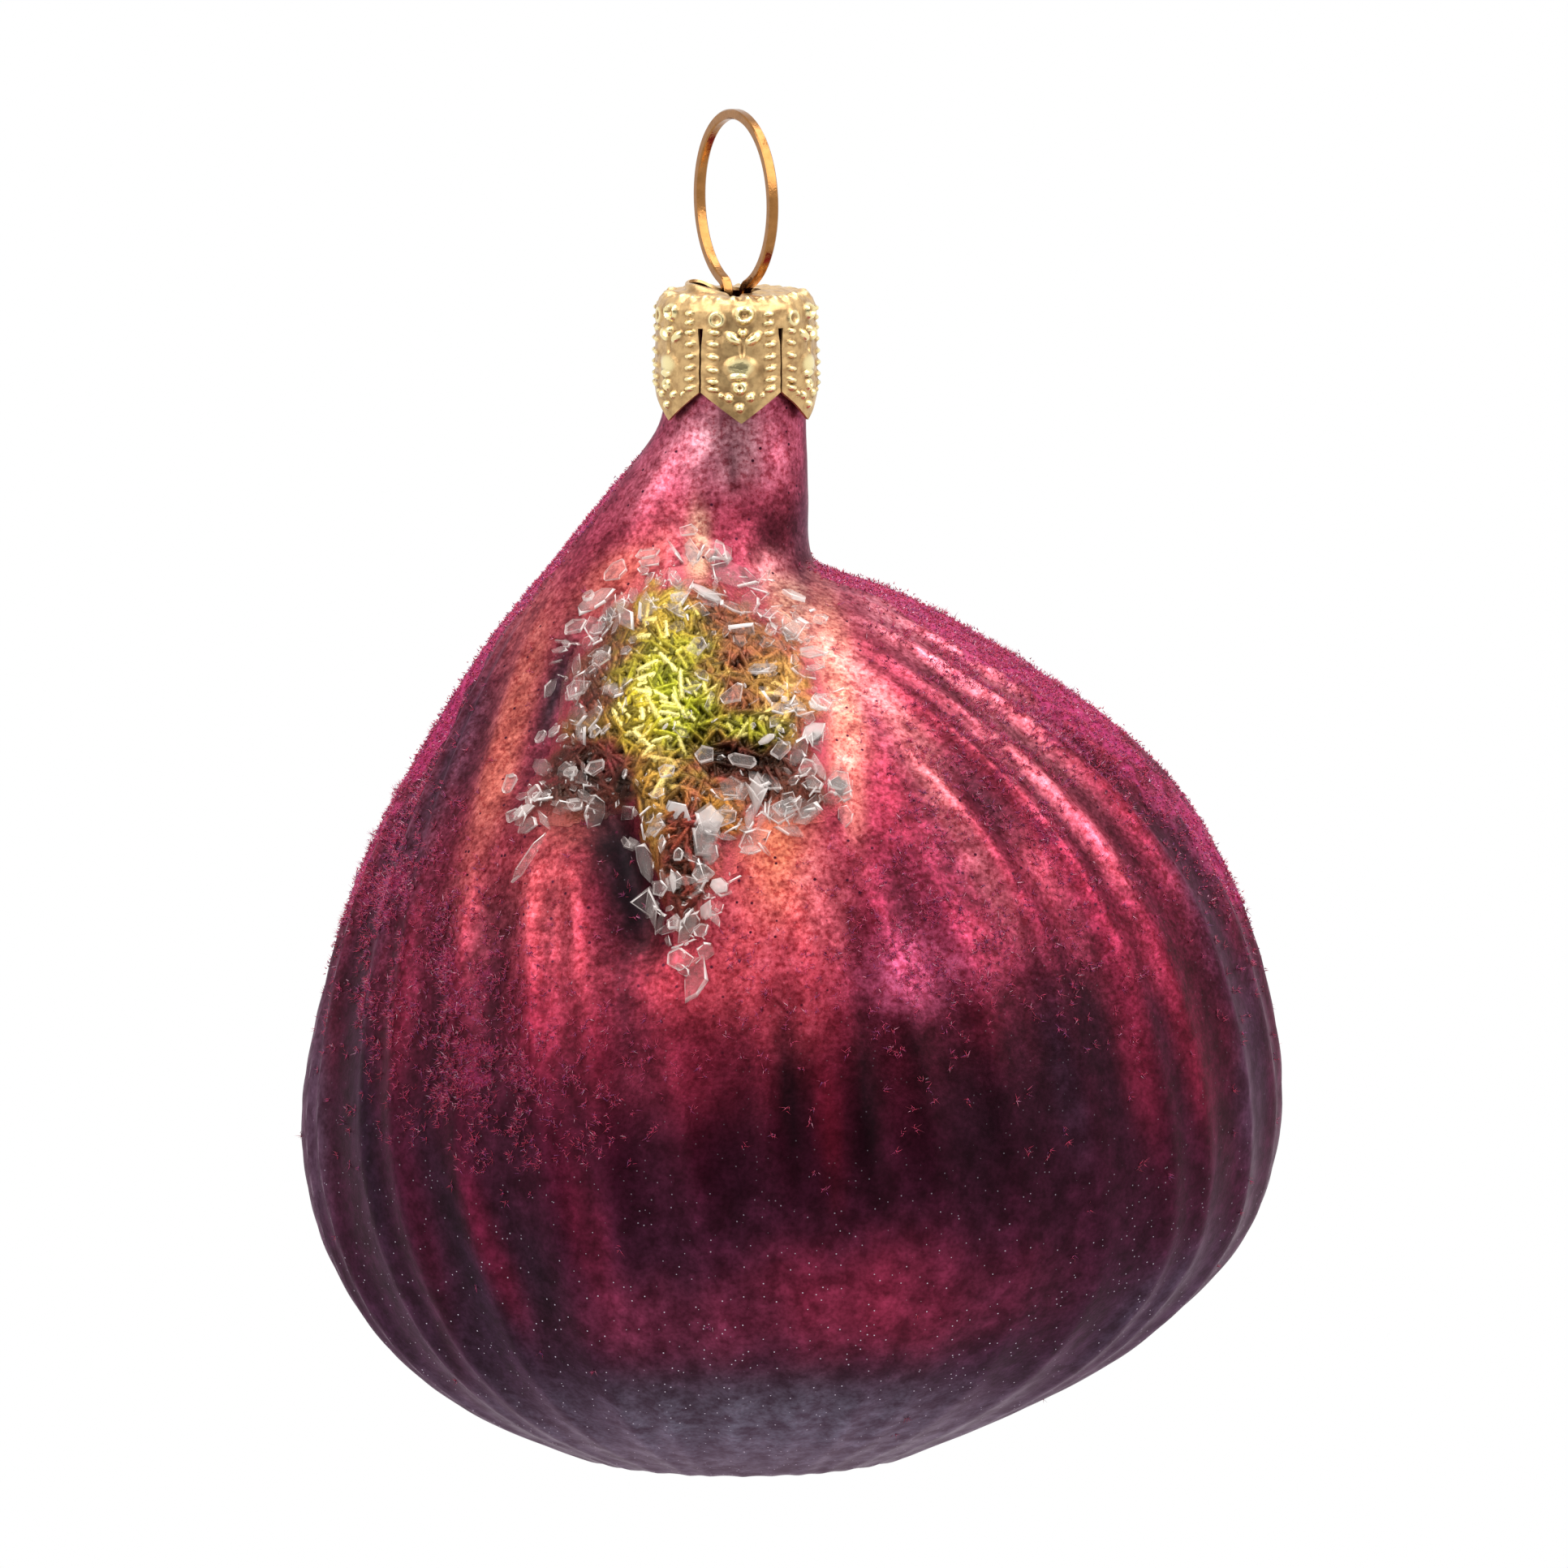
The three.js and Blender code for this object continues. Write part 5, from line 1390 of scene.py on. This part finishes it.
bender = Bender(0, WIRE / 2, 0)
bender.turn(LOOP_BORE / 2 + WIRE / 2, LOOP_OPENING - math.pi, 64)
bender.turn(WIRE_BEND, math.pi / 2 - LOOP_OPENING, 8)
bender.straight(bender.at.z - (cap_top - CAP_SHEET - CAP_DIMPLE))
bender.turn(WIRE_BEND, LEG_SPLAY, 6)
eased = leg_offset - LEG_EASE * (1 - math.cos(LEG_SPLAY))
bender.straight((eased - bender.at.x) / math.sin(LEG_SPLAY))
bender.turn(LEG_EASE, -LEG_SPLAY, 6)
bender.straight(LEG_STRAIGHT, 4)
bender.turn(LEG_EASE, -TIP_TURN, 4)
bender.straight(LEG_TIP)
bpy.ops.mesh.edge_face_add()
done()
finished(wire, "MIRROR", use_axis=(True, False, False), merge_threshold=0.01 * MM)
edit(wire)
bpy.ops.mesh.normals_make_consistent(inside=False)
bpy.ops.transform.rotate(value=-LOOP_TURN, orient_axis="Z", center_override=(0, 0, 0))
done()
bpy.ops.object.shade_smooth_by_angle(angle=math.radians(30))
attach(wire, "hanger")
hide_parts("hanger_wire")

brass, tree, shader = new_finish("drawn_brass_wire")
drawn = grain(tree, 0.5 * MM, 4)
set_inputs(tree, shader, {
    "Base Color": mixed(tree, drawn, colour("b27c48"), colour("845a30")),
    "Metallic": 1.0,
    "Roughness": ramped(tree, grain(tree, 0.3 * MM, 3), 0.3, 0.7, 0.12, 0.26),
    "Normal": bumped(tree, grain(tree, 0.2 * MM, 2), 0.01 * MM),
})
wire.data.materials.append(brass)


# Studio. The ornament hangs over a pale floor that sweeps up into a backdrop, under three soft boxes.
# A black card stands on the camera's side, so that the satin has something dark to mirror.
FLOOR_DROP = 60 * MM
SWEEP_WIDE = 5
SWEEP_DEEP = 3
SWEEP_BACK = 0.9
SWEEP_HIGH = 2.0
SWEEP_BEND = 0.35
floor_z = cad_low.z - FLOOR_DROP


def looked_at(tree):
    """1 where the camera looks, also by a mirror or through glass, and 0 where light is given off"""
    path = add_node(tree, "LightPath")
    seen = sums(tree, "MAXIMUM", path.outputs["Is Camera Ray"], path.outputs["Is Glossy Ray"])
    return sums(tree, "MAXIMUM", seen, path.outputs["Is Transmission Ray"])


select_nothing()
bpy.ops.mesh.primitive_plane_add(size=1, location=(0, 0, floor_z))
sweep = bpy.context.object
sweep.name = "studio_sweep"
edit(sweep)
widen_by(SWEEP_WIDE, SWEEP_DEEP, (0, SWEEP_BACK, floor_z))
bpy.ops.transform.translate(value=(0, -SWEEP_DEEP / 2 + SWEEP_BACK, 0))
done()
for vertex in sweep.data.vertices:
    vertex.select = vertex.co.y > 0.9 * SWEEP_BACK
for edge in sweep.data.edges:
    edge.select = all(sweep.data.vertices[v].select for v in edge.vertices)
for face in sweep.data.polygons:
    face.select = False
bpy.ops.object.mode_set(mode="EDIT")
extrude_by((0, 0, SWEEP_HIGH))
done()
finished(sweep, "BEVEL", width=SWEEP_BEND, segments=12, limit_method="ANGLE")
bpy.ops.object.shade_smooth()
pale, tree, shader = new_finish("pale_sweep")
set_inputs(tree, shader, {
    "Base Color": colour("f4f3f2"),
    "Roughness": 0.9,
    "Emission Color": (1, 1, 1, 1),
    "Emission Strength": sums(tree, "MULTIPLY", looked_at(tree), 0.25),
})
sweep.data.materials.append(pale)
sweep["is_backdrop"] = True

CARD_PLACE = (0, -1.35, -0.05)
CARD_SIZE = (1.5, 0.75)
select_nothing()
bpy.ops.mesh.primitive_plane_add(size=1, location=CARD_PLACE, rotation=(math.pi / 2, 0, 0))
card = bpy.context.object
card.name = "black_card"
edit(card)
bpy.ops.transform.resize(value=(CARD_SIZE[0], 1, CARD_SIZE[1]), center_override=CARD_PLACE)
done()
black, tree, shader = new_finish("black_card")
shader.inputs["Base Color"].default_value = colour("0c0c0e")
card.data.materials.append(black)
card.visible_camera = False
card.visible_diffuse = False
card.visible_shadow = False
card.visible_transmission = False
card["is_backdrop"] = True

world = bpy.data.worlds.new("studio_light")
bpy.context.scene.world = world
world.use_nodes = True
tree = world.node_tree
set_inputs(tree, tree.nodes["Background"], {
    "Color": (1, 1, 1, 1), "Strength": ramped(tree, looked_at(tree), 0, 1, 0.55, 1.0)})


def soft_box(name, place, size, power):
    """A rectangular lamp that is aimed at the ornament's middle"""
    light = bpy.data.lights.new(name, "AREA")
    light.shape = "RECTANGLE"
    light.size, light.size_y = size
    light.energy = power
    lamp = bpy.data.objects.new(name, light)
    bpy.context.collection.objects.link(lamp)
    lamp.location = place
    lamp.rotation_euler = (middle - Vector(place)).to_track_quat("-Z", "Y").to_euler()


middle = (cad_low + cad_high) / 2
soft_box("soft_box_left", (-0.6, -0.5, 0.55), (0.8, 0.8), 6)
soft_box("soft_box_right", (0.65, -0.3, 0.6), (0.7, 0.8), 6)
soft_box("soft_box_top", (0.0, 0.1, 0.9), (0.9, 0.7), 8)

# The camera looks down on the belly by some seven degrees, from a metre away
CAMERA_AIM = Vector((3.15, 0, -43.8)) * MM
CAMERA_AWAY = 1.0
CAMERA_RISE = math.radians(7.1)
FRAME_WIDTH = 103.04 * MM
camera_data = bpy.data.cameras.new("camera")
camera_data.lens = camera_data.sensor_width * CAMERA_AWAY / FRAME_WIDTH
camera_data.clip_start = 0.01
camera = bpy.data.objects.new("camera", camera_data)
bpy.context.collection.objects.link(camera)
back = Vector((0, -math.cos(CAMERA_RISE), math.sin(CAMERA_RISE)))
camera.location = CAMERA_AIM + CAMERA_AWAY * back
camera.rotation_euler = (-back).to_track_quat("-Z", "Y").to_euler()
bpy.context.scene.camera = camera
bpy.context.scene.view_settings.view_transform = "Standard"

low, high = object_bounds()
